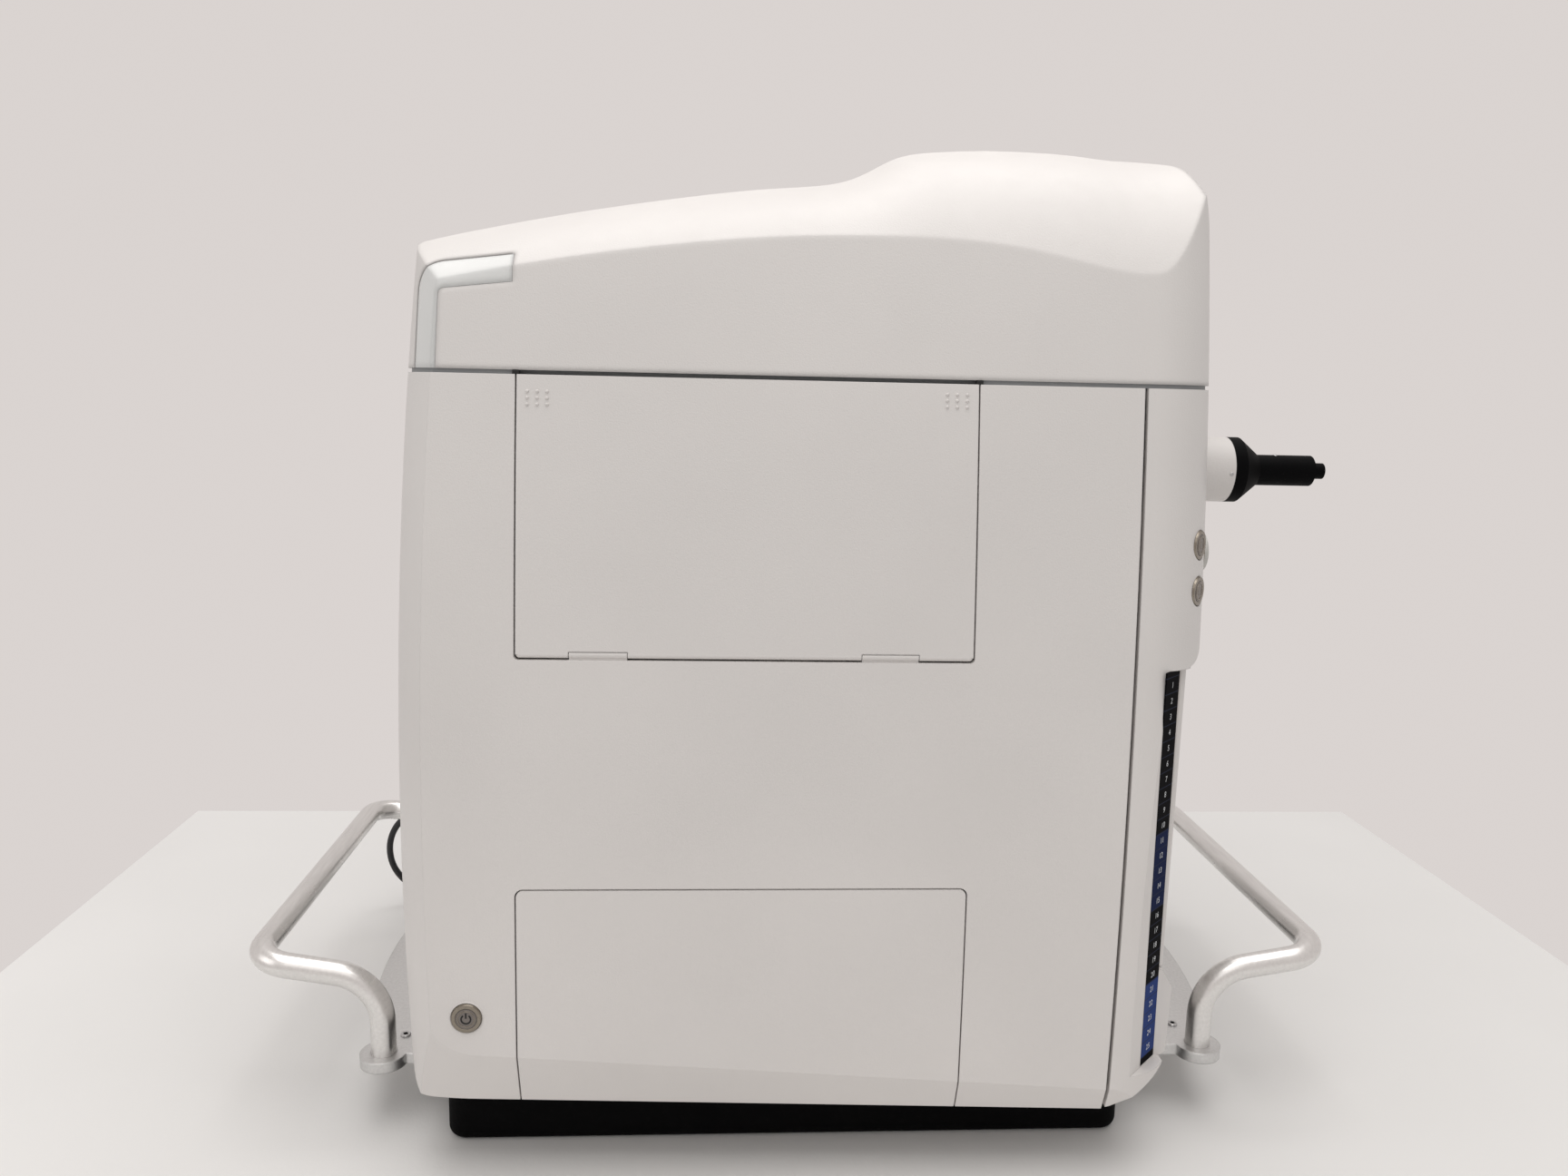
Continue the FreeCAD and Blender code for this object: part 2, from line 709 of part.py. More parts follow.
def strip_point(along, out=0.0):
    """Point of the slanted face: along it from its front edge, and out from it."""
    a = math.radians(STRIP_ANGLE)
    return V(STRIP_X + along * math.cos(a) + out * math.sin(a),
             STRIP_Y + along * math.sin(a) - out * math.cos(a), 0)


def strip_block(along0, along1, out0, out1, z0, z1):
    return strip_prism([strip_point(along0, out0), strip_point(along1, out0),
                        strip_point(along1, out1), strip_point(along0, out1)], z0, z1)


def strip_prism(corners, z0, z1):
    """Upright prism that drifts sideways as the number strip does."""
    first = STRIP_DRIFT * (z0 - STRIP_LOW_Z)
    points = [V(p.x + first, p.y, z0) for p in corners]
    face = Part.Face(Part.makePolygon(points + points[:1]))
    return face.extrude(V(STRIP_DRIFT * (z1 - z0), 0, z1 - z0))


def below_head(low, corner_low):
    """Front view of what is cut away beside the column under its head."""
    x1 = FAR
    head_x = right_x(HEAD_LOW_Z)
    r = HEAD_CORNER_R
    top = HEAD_LOW_Z
    points = [(150.0, low, 0), (corner_low, low, 0), (corner_low + 26.0, low - 45.0, FOOT_BULGE_R * 0.5),
              (x1, low - 45.0, 0), (x1, top + 60, 0), (head_x + 0.5, top + 60, 0),
              (head_x + 0.5, top, r), (150.0, top, 0)]
    return prism_y(points, -FAR, FAR)


def column_form():
    return right_form().common(right_of_seam(FRONT_SEAM_GAP / 2, 0, SEAM_Z)).common(
        box(-FAR, FAR, -FAR, BACK_COVER_Y, 0, SEAM_Z))


def side_column():
    column = column_form()
    front = strip_point(-40.0)
    rear = strip_point(STRIP_SLANT)
    slant = strip_prism([front, rear, V(FAR, rear.y, 0), V(FAR, front.y, 0)], STRIP_LOW_Z - 1.0, HEAD_LOW_Z)
    column = column.cut(slant)
    recess = below_head(FOOT_TOP_Z, FINGER_DISH_X)
    column = column.cut(recess.common(box(RECESS_X, FAR, rear.y - 1, FINGER_DISH_Y, 0, HIGH)))
    flat = recess.common(box(RECESS_X, FAR, FINGER_DISH_Y, RECESS_BACK_Y, FOOT_TOP_Z, HIGH))
    column = column.cut(flat)
    column = column.cut(strip_block(2.0, 2.0 + STRIP_WIDE + 0.4, -STRIP_RECESS, 5.0, STRIP_LOW_Z, HEAD_LOW_Z))
    column = column.cut(column_hollow())
    column = column.cut(box(RECESS_X - 20, RECESS_X + 1, BAY_Y[0], BAY_Y[1], FOOT_TOP_Z, BAY_Z[1]))
    inner = RECESS_X - COLUMN_WALL + 1
    column = column.cut(box(inner - 14, inner, BAY_Y[0], BAY_Y[1], BAY_Z[0], BAY_Z[1]))
    column = column.cut(base_hole())
    column = column.cut(column_holes())
    return column


def column_hollow():
    x0 = 200.0
    y1 = BACK_COVER_Y + 20
    x1 = right_x(SEAM_Z) - RING_INSET + 0.3
    head = prism_z([(x0, -238.0, 0), (250.0, -238.0, 0), (x1, -205.0, 0), (x1, y1, 0), (x0, y1, 0)],
                   HEAD_LOW_Z + COLUMN_WALL, HIGH)
    middle = prism_z([(x0, -248.0, 0), (247.0, -248.0, 0), (RECESS_X - COLUMN_WALL, -224.0, 0),
                      (RECESS_X - COLUMN_WALL, y1, 0), (x0, y1, 0)], RIGHT_FOOT_Z,
                     HEAD_LOW_Z - COLUMN_WALL)
    head_front = behind_face(COVER_WALL, FAR)
    foot = box(x0, 277.0, -224.0, y1, 88.0, FOOT_TOP_Z - 50.0)
    join = box(x0, RECESS_X - COLUMN_WALL, -215.0, y1, HEAD_LOW_Z - COLUMN_WALL - 1, HEAD_LOW_Z + COLUMN_WALL + 1)
    return [head.common(head_front), middle.common(head_front), foot, join]


def corner_centre(z):
    return V(right_x(z) - RIGHT_ROLL_R, face_y(z) + RIGHT_ROLL_R, z)


def corner_point(z):
    a = math.radians(CONTROL_ANGLE)
    out = V(math.sin(a), -math.cos(a), 0)
    return corner_centre(z) + out * RIGHT_ROLL_R, out


def column_holes():
    holes = []
    for z in CONTROL_Z:
        at, out = corner_point(z)
        holes.append(rod(CAP_R + 2.2, at + out * 10, out * -1, 40))
        holes.append(rod(BEZEL_R + 0.3, at - out * SPOT_DEEP, out, 10))
    holes += door_pins()
    y, z = SIDE_BUTTON_AT
    holes.append(rod(SIDE_CAP_R - 3.0, V(FAR, y, z), V(-1, 0, 0), FAR - 250))
    holes.append(rod(TUBE_R, V(FAR, ADAPTER_Y, ADAPTER_Z), V(-1, 0, 0), FAR - 250))
    return holes


def number_scale():
    return strip_block(2.2, 2.2 + STRIP_WIDE, -STRIP_RECESS, STRIP_THICK - STRIP_RECESS, STRIP_LOW_Z + 0.3,
                       HEAD_LOW_Z - 0.3)


def door_outline():
    ax, ay = DOOR_AXIS
    r = DOOR_EDGE_R
    return [(DOOR_IN_X, DOOR_FRONT_Y, 1.5), (DOOR_IN_X + 4.5, DOOR_FRONT_Y, 2.0), (DOOR_OUT_X, -205.0, 60.0),
            (ax + r, ay + r, r - 0.01), (DOOR_IN_X, ay + r, r + 4)]


def door_solid():
    low = FOOT_TOP_Z + DOOR_GAP
    high = HEAD_LOW_Z - DOOR_GAP
    ax, ay = DOOR_AXIS
    shape = prism_z(door_outline(), low, high)
    pocket = prism_z([(DOOR_IN_X - 5, -205.0, 0), (DOOR_IN_X + 8, -205.0, 4), (DOOR_OUT_X - DOOR_SKIN, -170.0, 8),
                      (DOOR_OUT_X - DOOR_SKIN, ay - 22, 4), (DOOR_IN_X - 5, ay - 22, 0)], low + 10, high - 10)
    shape = shape.cut(pocket)
    bore = DOOR_PIN_R + PIN_PLAY
    ends = [rod(bore, V(ax, ay, low - 1), V(0, 0, 1), DOOR_PIN_LONG + 2),
            rod(bore, V(ax, ay, high + 1), V(0, 0, -1), DOOR_PIN_LONG + 2)]
    return shape.cut(ends)


def door_pins():
    ax, ay = DOOR_AXIS
    low = FOOT_TOP_Z + DOOR_GAP
    high = HEAD_LOW_Z - DOOR_GAP
    root = 6.0
    lower = rod(DOOR_PIN_R, V(ax, ay, low + DOOR_PIN_LONG), V(0, 0, -1), DOOR_PIN_LONG + DOOR_GAP + root)
    upper = rod(DOOR_PIN_R, V(ax, ay, high - DOOR_PIN_LONG), V(0, 0, 1), DOOR_PIN_LONG + DOOR_GAP + root)
    return [lower, upper]


# ---------------------------------------------------------------- base and chassis


def base_tray():
    outer = prism_z(rectangle(BASE_X[0], BASE_X[1], -BASE_Y, BASE_Y, BASE_CORNER_R), 0, BASE_TOP_Z)
    outer = outer.makeFillet(BASE_EDGE_R, edges_where(outer, lambda b: b.ZMax < 0.1))
    w = BASE_WALL
    inner = prism_z(rectangle(BASE_X[0] + w, BASE_X[1] - w, -BASE_Y + w, BASE_Y - w, BASE_CORNER_R - w),
                    w, BASE_TOP_Z + 1)
    side = box(BASE_X[1] - w, BASE_X[1], -BASE_Y + 20.0, BASE_Y - 20.0, BASE_TOP_Z - 1.0, BASE_SIDE_Z)
    tray = outer.cut(inner).fuse(side).removeSplitter()
    return tray.cut([rod(PAD_R, V(x, y, -1), V(0, 0, 1), PAD_DEEP + 1) for x, y in pad_places()])


def pad_places():
    inset = 55.0
    return [(x, y) for x in (BASE_X[0] + inset, BASE_X[1] - inset) for y in (-BASE_Y + inset, BASE_Y - inset)]


def foot_pads():
    return group(rod(PAD_R - 0.3, V(x, y, 0), V(0, 0, 1), PAD_DEEP) for x, y in pad_places())


def chassis():
    x0, x1 = -272.0, 226.0
    y0, y1 = -204.0, 204.0
    low = BASE_TOP_Z
    plate = box(x0, x1, y0, y1, low, low + PLATE_THICK)
    ribs = [box(x0 + 60, x1 - 60, y - 6, y + 6, BASE_WALL, low) for y in (-120.0, 0.0, 120.0)]
    posts = []
    ring_low = SEAM_Z - RING_HIGH + 2.0
    for x, y in ((x0, -178.0), (x0, 150.0), (x1 - POST, -60.0), (x1 - POST, y1 - POST)):
        posts.append(box(x, x + POST, y, y + POST, low + PLATE_THICK, ring_low))
    ring = left_form(RING_INSET).common(right_form(RING_INSET))
    ring = ring.common(box(-FAR, FAR, -FAR, FAR, ring_low, SEAM_Z + SEAM_GAP - 0.3))
    neck = left_form(NECK_INSET).common(right_form(NECK_INSET))
    neck = neck.common(box(-FAR, FAR, -FAR, FAR, SEAM_Z, SEAM_Z + SEAM_GAP))
    neck = neck.cut(box(FLAP_LEFT_X - 2, FLAP_RIGHT_X + 2, -FAR, face_y(SEAM_Z) + RING_INSET, 0, HIGH))
    hole = box(-240.0, 232.0, -196.0, 180.0, 500, 700)
    return union([plate, ring.cut(hole), neck.cut(hole)] + ribs + posts)


# ---------------------------------------------------------------- handles


def handle_tube(sign):
    """Bent tube: up from a socket, out along a slanted arm, along the bar and back."""
    fx = sign * HANDLE_FOOT_X
    bx = sign * HANDLE_X
    foot = BRACKET_LOW_Z + BRACKET_THICK - SOCKET_HIGH
    corners = [V(fx, -HANDLE_Y, foot), V(fx, -HANDLE_Y, HANDLE_LOW_Z), V(bx, -HANDLE_Y, HANDLE_Z),
               V(bx, HANDLE_Y, HANDLE_Z), V(fx, HANDLE_Y, HANDLE_LOW_Z), V(fx, HANDLE_Y, foot)]
    wire = soft_wire(corners, [None, HANDLE_BEND, BAR_BEND, BAR_BEND, HANDLE_BEND, None])
    circle = Part.Wire(Part.Circle(corners[0], V(0, 0, 1), HANDLE_R).toShape())
    return wire.makePipeShell([circle], True, True)


def soft_wire(points, radii):
    """Straight runs joined by tangent arcs."""
    edges = []
    start = points[0]
    for before, here, after, radius in zip(points, points[1:], points[2:], radii[1:]):
        back = (before - here).normalize()
        ahead = (after - here).normalize()
        half = back.getAngle(ahead) / 2
        reach = radius / math.tan(half)
        a = here + back * reach
        b = here + ahead * reach
        middle = (back + ahead).normalize()
        top = here + middle * (radius / math.sin(half) - radius)
        edges.append(line(start, a))
        edges.append(Part.Arc(a, top, b).toShape())
        start = b
    edges.append(line(start, points[-1]))
    return Part.Wire(edges)


def bracket(sign):
    """Bow-shaped plate with a lobe and a socket at each end, and an inner cut-out."""
    z0 = BRACKET_LOW_Z
    z1 = z0 + BRACKET_THICK
    base_x = abs(BASE_X[0] if sign < 0 else BASE_X[1])
    root = base_x + 0.0
    s = sign
    bow = Part.Arc(V(s * (HANDLE_FOOT_X + 8), -HANDLE_Y - 2, z0), V(s * BRACKET_BOW_X, 0, z0),
                   V(s * (HANDLE_FOOT_X + 8), HANDLE_Y + 2, z0)).toShape()
    a = V(s * (HANDLE_FOOT_X + 8), HANDLE_Y + 2, z0)
    b = V(s * root, HANDLE_Y + 6, z0)
    c = V(s * root, -HANDLE_Y - 6, z0)
    d = V(s * (HANDLE_FOOT_X + 8), -HANDLE_Y - 2, z0)
    plate = Part.Face(Part.Wire([bow, line(a, b), line(b, c), line(c, d)])).extrude(V(0, 0, BRACKET_THICK))
    inner = Part.Arc(V(s * 329, -122, z0), V(s * 348, 0, z0), V(s * 329, 122, z0)).toShape()
    e = V(s * 316, 136, z0)
    f = V(s * (root + 22), 128, z0)
    g = V(s * (root + 22), -128, z0)
    h = V(s * 316, -136, z0)
    hole = Part.Face(Part.Wire([inner, line(V(s * 329, 122, z0), e), line(e, f), line(f, g), line(g, h),
                                line(h, V(s * 329, -122, z0))])).extrude(V(0, 0, BRACKET_THICK))
    plate = plate.cut(hole)
    for y in (-HANDLE_Y, HANDLE_Y):
        at = V(s * HANDLE_FOOT_X, y, z0)
        plate = plate.fuse(rod(BRACKET_LOBE_R, at, V(0, 0, 1), BRACKET_THICK))
        foot = V(s * HANDLE_FOOT_X, y, z1 - SOCKET_HIGH)
        plate = plate.cut(rod(HANDLE_R, foot, V(0, 0, 1), 30))
    return plate.removeSplitter()


def bracket_pads():
    """Spacer under each bracket, bolted against the side of the base."""
    pads = []
    for sign in (-1, 1):
        root = abs(BASE_X[0] if sign < 0 else BASE_X[1])
        x0, x1 = sorted((sign * root, sign * (root + 20.0)))
        pads.append(prism_z(rectangle(x0, x1, -140, 140, 4.0), BRACKET_LOW_Z - 14, BRACKET_LOW_Z))
    return group(pads)


# ---------------------------------------------------------------- light guide adapter


def adapter_profile(points, start_x):
    return turned(points, V(start_x, ADAPTER_Y, ADAPTER_Z), V(1, 0, 0))


LAMP_TUBE_X = OPTIC_X + 42.0


def adapter_tube():
    start = 284.0
    long = TUBE_OUT_X - start
    body = [(0, 17.0), (0, TUBE_R), (long, TUBE_R), (long, 17.0)]
    return adapter_profile(body, start)


def adapter_collar():
    cone = COLLAR_LONG + CONE_LONG
    body = [(0, 0), (0, TUBE_R), (COLLAR_LONG, TUBE_R), (cone, BARREL_R + 1.0), (cone, 0)]
    return adapter_profile(body, TUBE_OUT_X)


def adapter_barrel():
    start = TUBE_OUT_X + COLLAR_LONG + CONE_LONG
    long = BARREL_OUT_X - start
    nose = NOSE_OUT_X - start
    body = [(0, 0), (0, BARREL_R), (long, BARREL_R), (long, NOSE_R), (nose, NOSE_R), (nose, 0)]
    return adapter_profile(body, start)


def lamp_tube():
    start = LAMP_TUBE_X
    long = 284.0 - start
    body = [(0, 12.0), (0, 16.0), (long, 16.0), (long, 12.0)]
    return adapter_profile(body, start)


# ---------------------------------------------------------------- buttons


def bezel(at, out):
    """Flanged metal ring set into a wall, with its barrel behind."""
    play = BUTTON_PLAY
    body = [(-BUTTON_LONG, CAP_R + play), (-BUTTON_LONG, CAP_R + 2.2), (0, CAP_R + 2.2), (0, BEZEL_R),
            (BEZEL_HIGH, BEZEL_R - 0.8), (BEZEL_HIGH, CAP_R + play)]
    return turned(body, at, out)


def cap(at, out):
    body = [(-BUTTON_LONG + 4, 0), (-BUTTON_LONG + 4, CAP_R), (BEZEL_HIGH + 0.2, CAP_R), (BEZEL_HIGH + 0.2, 0)]
    return turned(body, at, out)


def power_place():
    x, z = POWER_AT
    return V(x, face_y(z) - 0.1, z), V(0, -1, 0)


def control_place(z):
    at, out = corner_point(z)
    return at - out * SPOT_DEEP, out


def side_place():
    y, z = SIDE_BUTTON_AT
    return V(right_x(z) + 0.6, y, z), V(1, 0, 0)


def side_ring():
    at, out = side_place()
    play = BUTTON_PLAY
    inner = SIDE_CAP_R - 3.0
    body = [(-BUTTON_LONG, inner - 3), (-BUTTON_LONG, inner), (0, inner), (0, SIDE_RING_R),
            (2.2, SIDE_RING_R - 0.6), (2.2, SIDE_CAP_R + play), (0.6, SIDE_CAP_R + play), (0.6, inner - 3)]
    return turned(body, at, out)


def side_cap():
    at, out = side_place()
    stem = SIDE_CAP_R - 6.0 - BUTTON_PLAY
    rise = 0.6 + SIDE_TRAVEL + 0.3
    body = [(-BUTTON_LONG - 4, 0), (-BUTTON_LONG - 4, stem), (rise, stem), (rise, SIDE_CAP_R),
            (rise + 3.2, SIDE_CAP_R), (rise + 3.2, SIDE_CAP_R - 2.5), (rise + 2.4, SIDE_CAP_R - 2.5), (rise + 2.4, 0)]
    return turned(body, at, out)


# ---------------------------------------------------------------- magazine and lift


def tray_z(place):
    return TRAY_TOP_Z - TRAY_PITCH * place - TRAY_THICK / 2


def tray(x0, y_mid, z0):
    """Tray with four stepped pockets and a grip notch at its outer end."""
    y0 = y_mid - TRAY_DEEP / 2
    y1 = y_mid + TRAY_DEEP / 2
    body = box(x0, x0 + TRAY_LONG, y0, y1, z0, z0 + TRAY_THICK)
    cuts = []
    for k in range(SLIDE_COUNT):
        x = x0 + 6.5 + k * SLIDE_PITCH
        depth = SLIDE_THICK + 0.6
        cuts.append(box(x - 0.4, x + SLIDE_X + 0.4, y_mid - SLIDE_Y / 2 - 0.4, y_mid + SLIDE_Y / 2 + 0.4,
                        z0 + TRAY_THICK - depth, z0 + TRAY_THICK + 1))
        cuts.append(box(x + 3, x + SLIDE_X - 3, y_mid - SLIDE_Y / 2 + 8, y_mid + SLIDE_Y / 2 - 8,
                        z0 - 1, z0 + TRAY_THICK + 1))
    return body.cut(cuts)


def plain_tray(x0, y_mid, z0):
    y0 = y_mid - TRAY_DEEP / 2
    y1 = y_mid + TRAY_DEEP / 2
    body = box(x0, x0 + TRAY_LONG, y0, y1, z0, z0 + TRAY_THICK)
    depth = SLIDE_THICK + 0.6
    return body.cut(box(x0 + 6, x0 + 6.5 + 4 * SLIDE_PITCH - 3, y_mid - SLIDE_Y / 2 - 0.4,
                        y_mid + SLIDE_Y / 2 + 0.4, z0 + TRAY_THICK - depth, z0 + TRAY_THICK + 1))


def slides(x0, y_mid, z0):
    level = z0 + TRAY_THICK - SLIDE_THICK - 0.6
    return [box(x0 + 6.5 + k * SLIDE_PITCH, x0 + 6.5 + k * SLIDE_PITCH + SLIDE_X, y_mid - SLIDE_Y / 2,
                y_mid + SLIDE_Y / 2, level, level + SLIDE_THICK) for k in range(SLIDE_COUNT)]


def magazine_rack():
    y0 = TRAY_Y - TRAY_DEEP / 2 - RACK_GAP
    y1 = TRAY_Y + TRAY_DEEP / 2 + RACK_GAP
    x0 = RACK_X - 2.0
    x1 = RACK_X + TRAY_LONG + 2.0
    low = BASE_TOP_Z + PLATE_THICK
    high = TRAY_TOP_Z + TRAY_PITCH
    parts = [box(x0, x1, y0 - RACK_WALL, y0, low, high), box(x0, x1, y1, y1 + RACK_WALL, low, high),
             box(x0, x1, y0 - RACK_WALL, y1 + RACK_WALL, high, high + 4),
             box(x0, x1, y0 - RACK_WALL, y1 + RACK_WALL, low, low + 6)]
    for k in range(TRAY_COUNT):
        z = tray_z(k) - RACK_LEDGE_THICK
        parts.append(box(x0, x1, y0, y0 + RACK_LEDGE, z, z + RACK_LEDGE_THICK))
        parts.append(box(x0, x1, y1 - RACK_LEDGE, y1, z, z + RACK_LEDGE_THICK))
    return union(parts)


def slide_trays():
    return group(plain_tray(RACK_X, TRAY_Y, tray_z(k)) for k in range(TRAY_COUNT) if k != STAGE_PLACE)


STAGE_PLACE = 1


def lift_frame():
    """Foot and head plates that hold the lift's rods and the bearing of its screw."""
    x0 = LIFT_X
    x1 = LIFT_X + LIFT_LONG
    y0 = ROD_Y - 14
    y1 = ROD_Y + 14
    low = BASE_TOP_Z + PLATE_THICK
    foot = box(x0, x1, y0, y1, low, low + 8)
    head = box(x0, x1, y0, y1, ROD_TOP_Z, ROD_TOP_Z + 8)
    back = box(x0, x1, y1, y1 + 5, low, ROD_TOP_Z + 8)
    holes = [rod(ROD_R, V(x, ROD_Y, z), V(0, 0, 1), 8) for x in rod_places() for z in (low, ROD_TOP_Z)]
    holes += [rod(3.0 + PIN_PLAY, V(x0 + LIFT_LONG / 2, ROD_Y, z), V(0, 0, 1), 8) for z in (low, ROD_TOP_Z)]
    return union([foot, head, back]).cut(holes)


def rod_places():
    return (LIFT_X + 14, LIFT_X + LIFT_LONG - 14)


def lift_rods():
    low = BASE_TOP_Z + PLATE_THICK
    return group(rod(ROD_R, V(x, ROD_Y, low), V(0, 0, 1), ROD_TOP_Z + 8 - low) for x in rod_places())


def lift_screw():
    low = BASE_TOP_Z + PLATE_THICK
    gap = SLIDE_FIT
    long = ROD_TOP_Z - low - 8
    body = [(-7.7, 0), (-7.7, 3.0), (gap, 3.0), (gap, SCREW_R), (long - gap, SCREW_R), (long - gap, 3.0),
            (long + 7.7, 3.0), (long + 7.7, 0)]
    return turned(body, V(LIFT_X + LIFT_LONG / 2, ROD_Y, low + 8), V(0, 0, 1))


def tray_lift():
    z0 = tray_z(TRAY_COUNT - 1) - LIFT_THICK - SLIDE_FIT
    x0 = LIFT_X + 3
    x1 = LIFT_X + LIFT_LONG - 3
    y0 = TRAY_Y - 40
    deck = box(x0, x1, y0, ROD_Y + 11, z0, z0 + LIFT_THICK)
    boss = [rod(10.0, V(x, ROD_Y, z0), V(0, 0, 1), 24) for x in rod_places()]
    nut = rod(11.0, V(LIFT_X + LIFT_LONG / 2, ROD_Y, z0), V(0, 0, 1), 24)
    holes = [rod(ROD_R + PIN_PLAY, V(x, ROD_Y, z0 - 1), V(0, 0, 1), 40) for x in rod_places()]
    holes.append(rod(SCREW_R + PIN_PLAY, V(LIFT_X + LIFT_LONG / 2, ROD_Y, z0 - 1), V(0, 0, 1), 40))
    return union([deck, nut] + boss).cut(holes)


def tray_gripper():
    """Fork that pulls a tray over the lift."""
    z0 = tray_z(TRAY_COUNT - 1)
    x0 = LIFT_X + 8
    x1 = RACK_X - 2.0 - SLIDE_FIT
    plate = box(x0, x1, TRAY_Y - 16, TRAY_Y + 16, z0, z0 + 3)
    stop = box(x0, x0 + 10, TRAY_Y - 16, TRAY_Y + 16, z0, z0 + 9)
    hook = box(x1 - 6, x1, TRAY_Y - 10, TRAY_Y + 10, z0, z0 + 6)
    return union([plate, stop, hook])


# ---------------------------------------------------------------- microscope


def stand():
    x0, x1 = STAND_X
    y0, y1 = STAND_Y
    low = BASE_TOP_Z + PLATE_THICK
    post = prism_z(rectangle(x0, x1, y0, y1, 10.0), low, ARM_HIGH_Z)
    arm = prism_x([(y0 + 20, ARM_LOW_Z, 0), (y0 + 20, ARM_HIGH_Z, 0),
                   (OPTIC_Y - 90, ARM_HIGH_Z, 10), (OPTIC_Y - 90, ARM_LOW_Z, 8)], OPTIC_X - 42, OPTIC_X + 42)
    deck_z = STAGE_Z - 2 * STAGE_THICK - 4.0 - DECK_THICK
    deck = prism_z(rectangle(OPTIC_X - 90, OPTIC_X + 90, OPTIC_Y - 60, y0 + 10, 8.0), deck_z, deck_z + DECK_THICK)
    gusset = prism_x([(y0 + 5, deck_z, 0), (y0 - 60, deck_z, 0), (y0 + 5, deck_z - 90, 0)],
                     OPTIC_X - 12, OPTIC_X + 12)
    body = union([post, arm, deck, gusset])
    cuts = [rod(18.0, V(OPTIC_X, OPTIC_Y, ARM_LOW_Z - 1), V(0, 0, 1), 60),
            rod(CONDENSER_R, V(OPTIC_X, OPTIC_Y, deck_z - 1), V(0, 0, 1), DECK_THICK + 2),
            rod(16.0, V(LAMP_TUBE_X - 20, ADAPTER_Y, ADAPTER_Z), V(1, 0, 0), 60)]
    return body.cut(cuts)


def stage_rails():
    """Two strips on the deck that the stage's lower plate runs on."""
    deck_top = STAGE_Z - 2 * STAGE_THICK - 4.0
    top = STAGE_Z - 2 * STAGE_THICK - 1.0 - SLIDE_FIT
    return group(box(x - 6, x + 6, OPTIC_Y - 58, 85, deck_top, top) for x in (OPTIC_X - 76, OPTIC_X + 76))


def stage_y():
    z0 = STAGE_Z - 2 * STAGE_THICK - 1.0
    z1 = z0 + STAGE_THICK
    y0 = OPTIC_Y - 50
    plate = box(OPTIC_X - 84, OPTIC_X + 84, y0, y0 + 150, z0, z1)
    hole = box(OPTIC_X - 40 - STAGE_TRAVEL_X, OPTIC_X + 40 + STAGE_TRAVEL_X, OPTIC_Y - 38, OPTIC_Y + 38, z0 - 1, z1 + 1)
    return plate.cut(hole)


def stage_x():
    z0 = STAGE_Z - STAGE_THICK - 1.0 + SLIDE_FIT
    z1 = STAGE_Z - SLIDE_FIT
    x0 = OPTIC_X - 70
    y0 = OPTIC_Y - TRAY_DEEP / 2 - 5
    plate = box(x0, x0 + 140, y0, y0 + TRAY_DEEP + 30, z0, z1)
    hole = box(OPTIC_X - 58, OPTIC_X + 58, OPTIC_Y - 36, OPTIC_Y + 36, z0 - 1, z1 + 1)
    guides = [box(x0, x0 + 140, y, y + 3, z1, z1 + 6) for y in (y0, y0 + TRAY_DEEP + 7)]
    return union([plate.cut(hole)] + guides)


def focus_block():
    """Block that carries the turret on its inclined seat and runs on the stand's front."""
    apex, axis = turret_axis()
    low = 470.0
    high = 490.0
    back = STAND_Y[0] - SLIDE_FIT
    block = box(OPTIC_X - 34, OPTIC_X + 34, OPTIC_Y - 34, back, low, high)
    slider = box(OPTIC_X - 24, OPTIC_X + 24, back - 14, back, low - 50, high)
    seat = rod(26.0, apex + axis * (turret_reach() - 14.3), axis, 14.0)
    shaft = rod(7.0 + PIN_PLAY, apex + axis * 20, axis, 120)
    bore = rod(16.0, V(OPTIC_X, OPTIC_Y, low - 1), V(0, 0, 1), 40)
    high_room = box(-FAR, FAR, -FAR, FAR, high, high + 80)
    return union([block, slider, seat]).cut([shaft, bore, high_room])


def turret_axis():
    """Apex of the objectives' axes and the direction of the turret's own axis."""
    tip = STAGE_Z + TIP_ABOVE_STAGE
    apex = V(OPTIC_X, OPTIC_Y, tip + OBJECTIVE_LONG + APEX_HIGH)
    a = math.radians(TURRET_TILT)
    return apex, V(0, math.sin(a), -math.cos(a))


def turret_reach():
    return APEX_HIGH * math.cos(math.radians(TURRET_TILT)) - 16.0


def turret():
    apex, axis = turret_axis()
    reach = turret_reach()
    body = [(reach - 22, 0), (reach - 22, 7.0), (reach, 7.0), (reach, TURRET_R), (reach + 12, TURRET_R),
            (reach + 24, 12.0), (reach + 24, 0)]
    solid = turned(body, apex, axis)
    flats = []
    for direction in objective_axes():
        flats.append(rod(OBJECTIVE_R + 1.5, apex + direction * APEX_HIGH, direction, 40))
    return solid.cut(flats)


def objective_axes():
    apex, axis = turret_axis()
    first = V(0, 0, -1)
    return [FreeCAD.Rotation(axis, 360.0 / TURRET_PLACES * k).multVec(first) for k in range(TURRET_PLACES)]


def objectives():
    """Three lenses, and blanking caps in the places between them."""
    apex, _ = turret_axis()
    solids = []
    for k, direction in enumerate(objective_axes()):
        long = OBJECTIVE_LONG - 5.0 * k
        profile = [(0, 0), (0, OBJECTIVE_R), (long - 16, OBJECTIVE_R), (long, OBJECTIVE_TIP_R), (long, 0)]
        if k % 2 == 1:
            profile = [(0, 0), (0, OBJECTIVE_R - 1), (5, OBJECTIVE_R - 1), (5, 0)]
        solids.append(turned(profile, apex + direction * APEX_HIGH, direction))
    return group(solids)


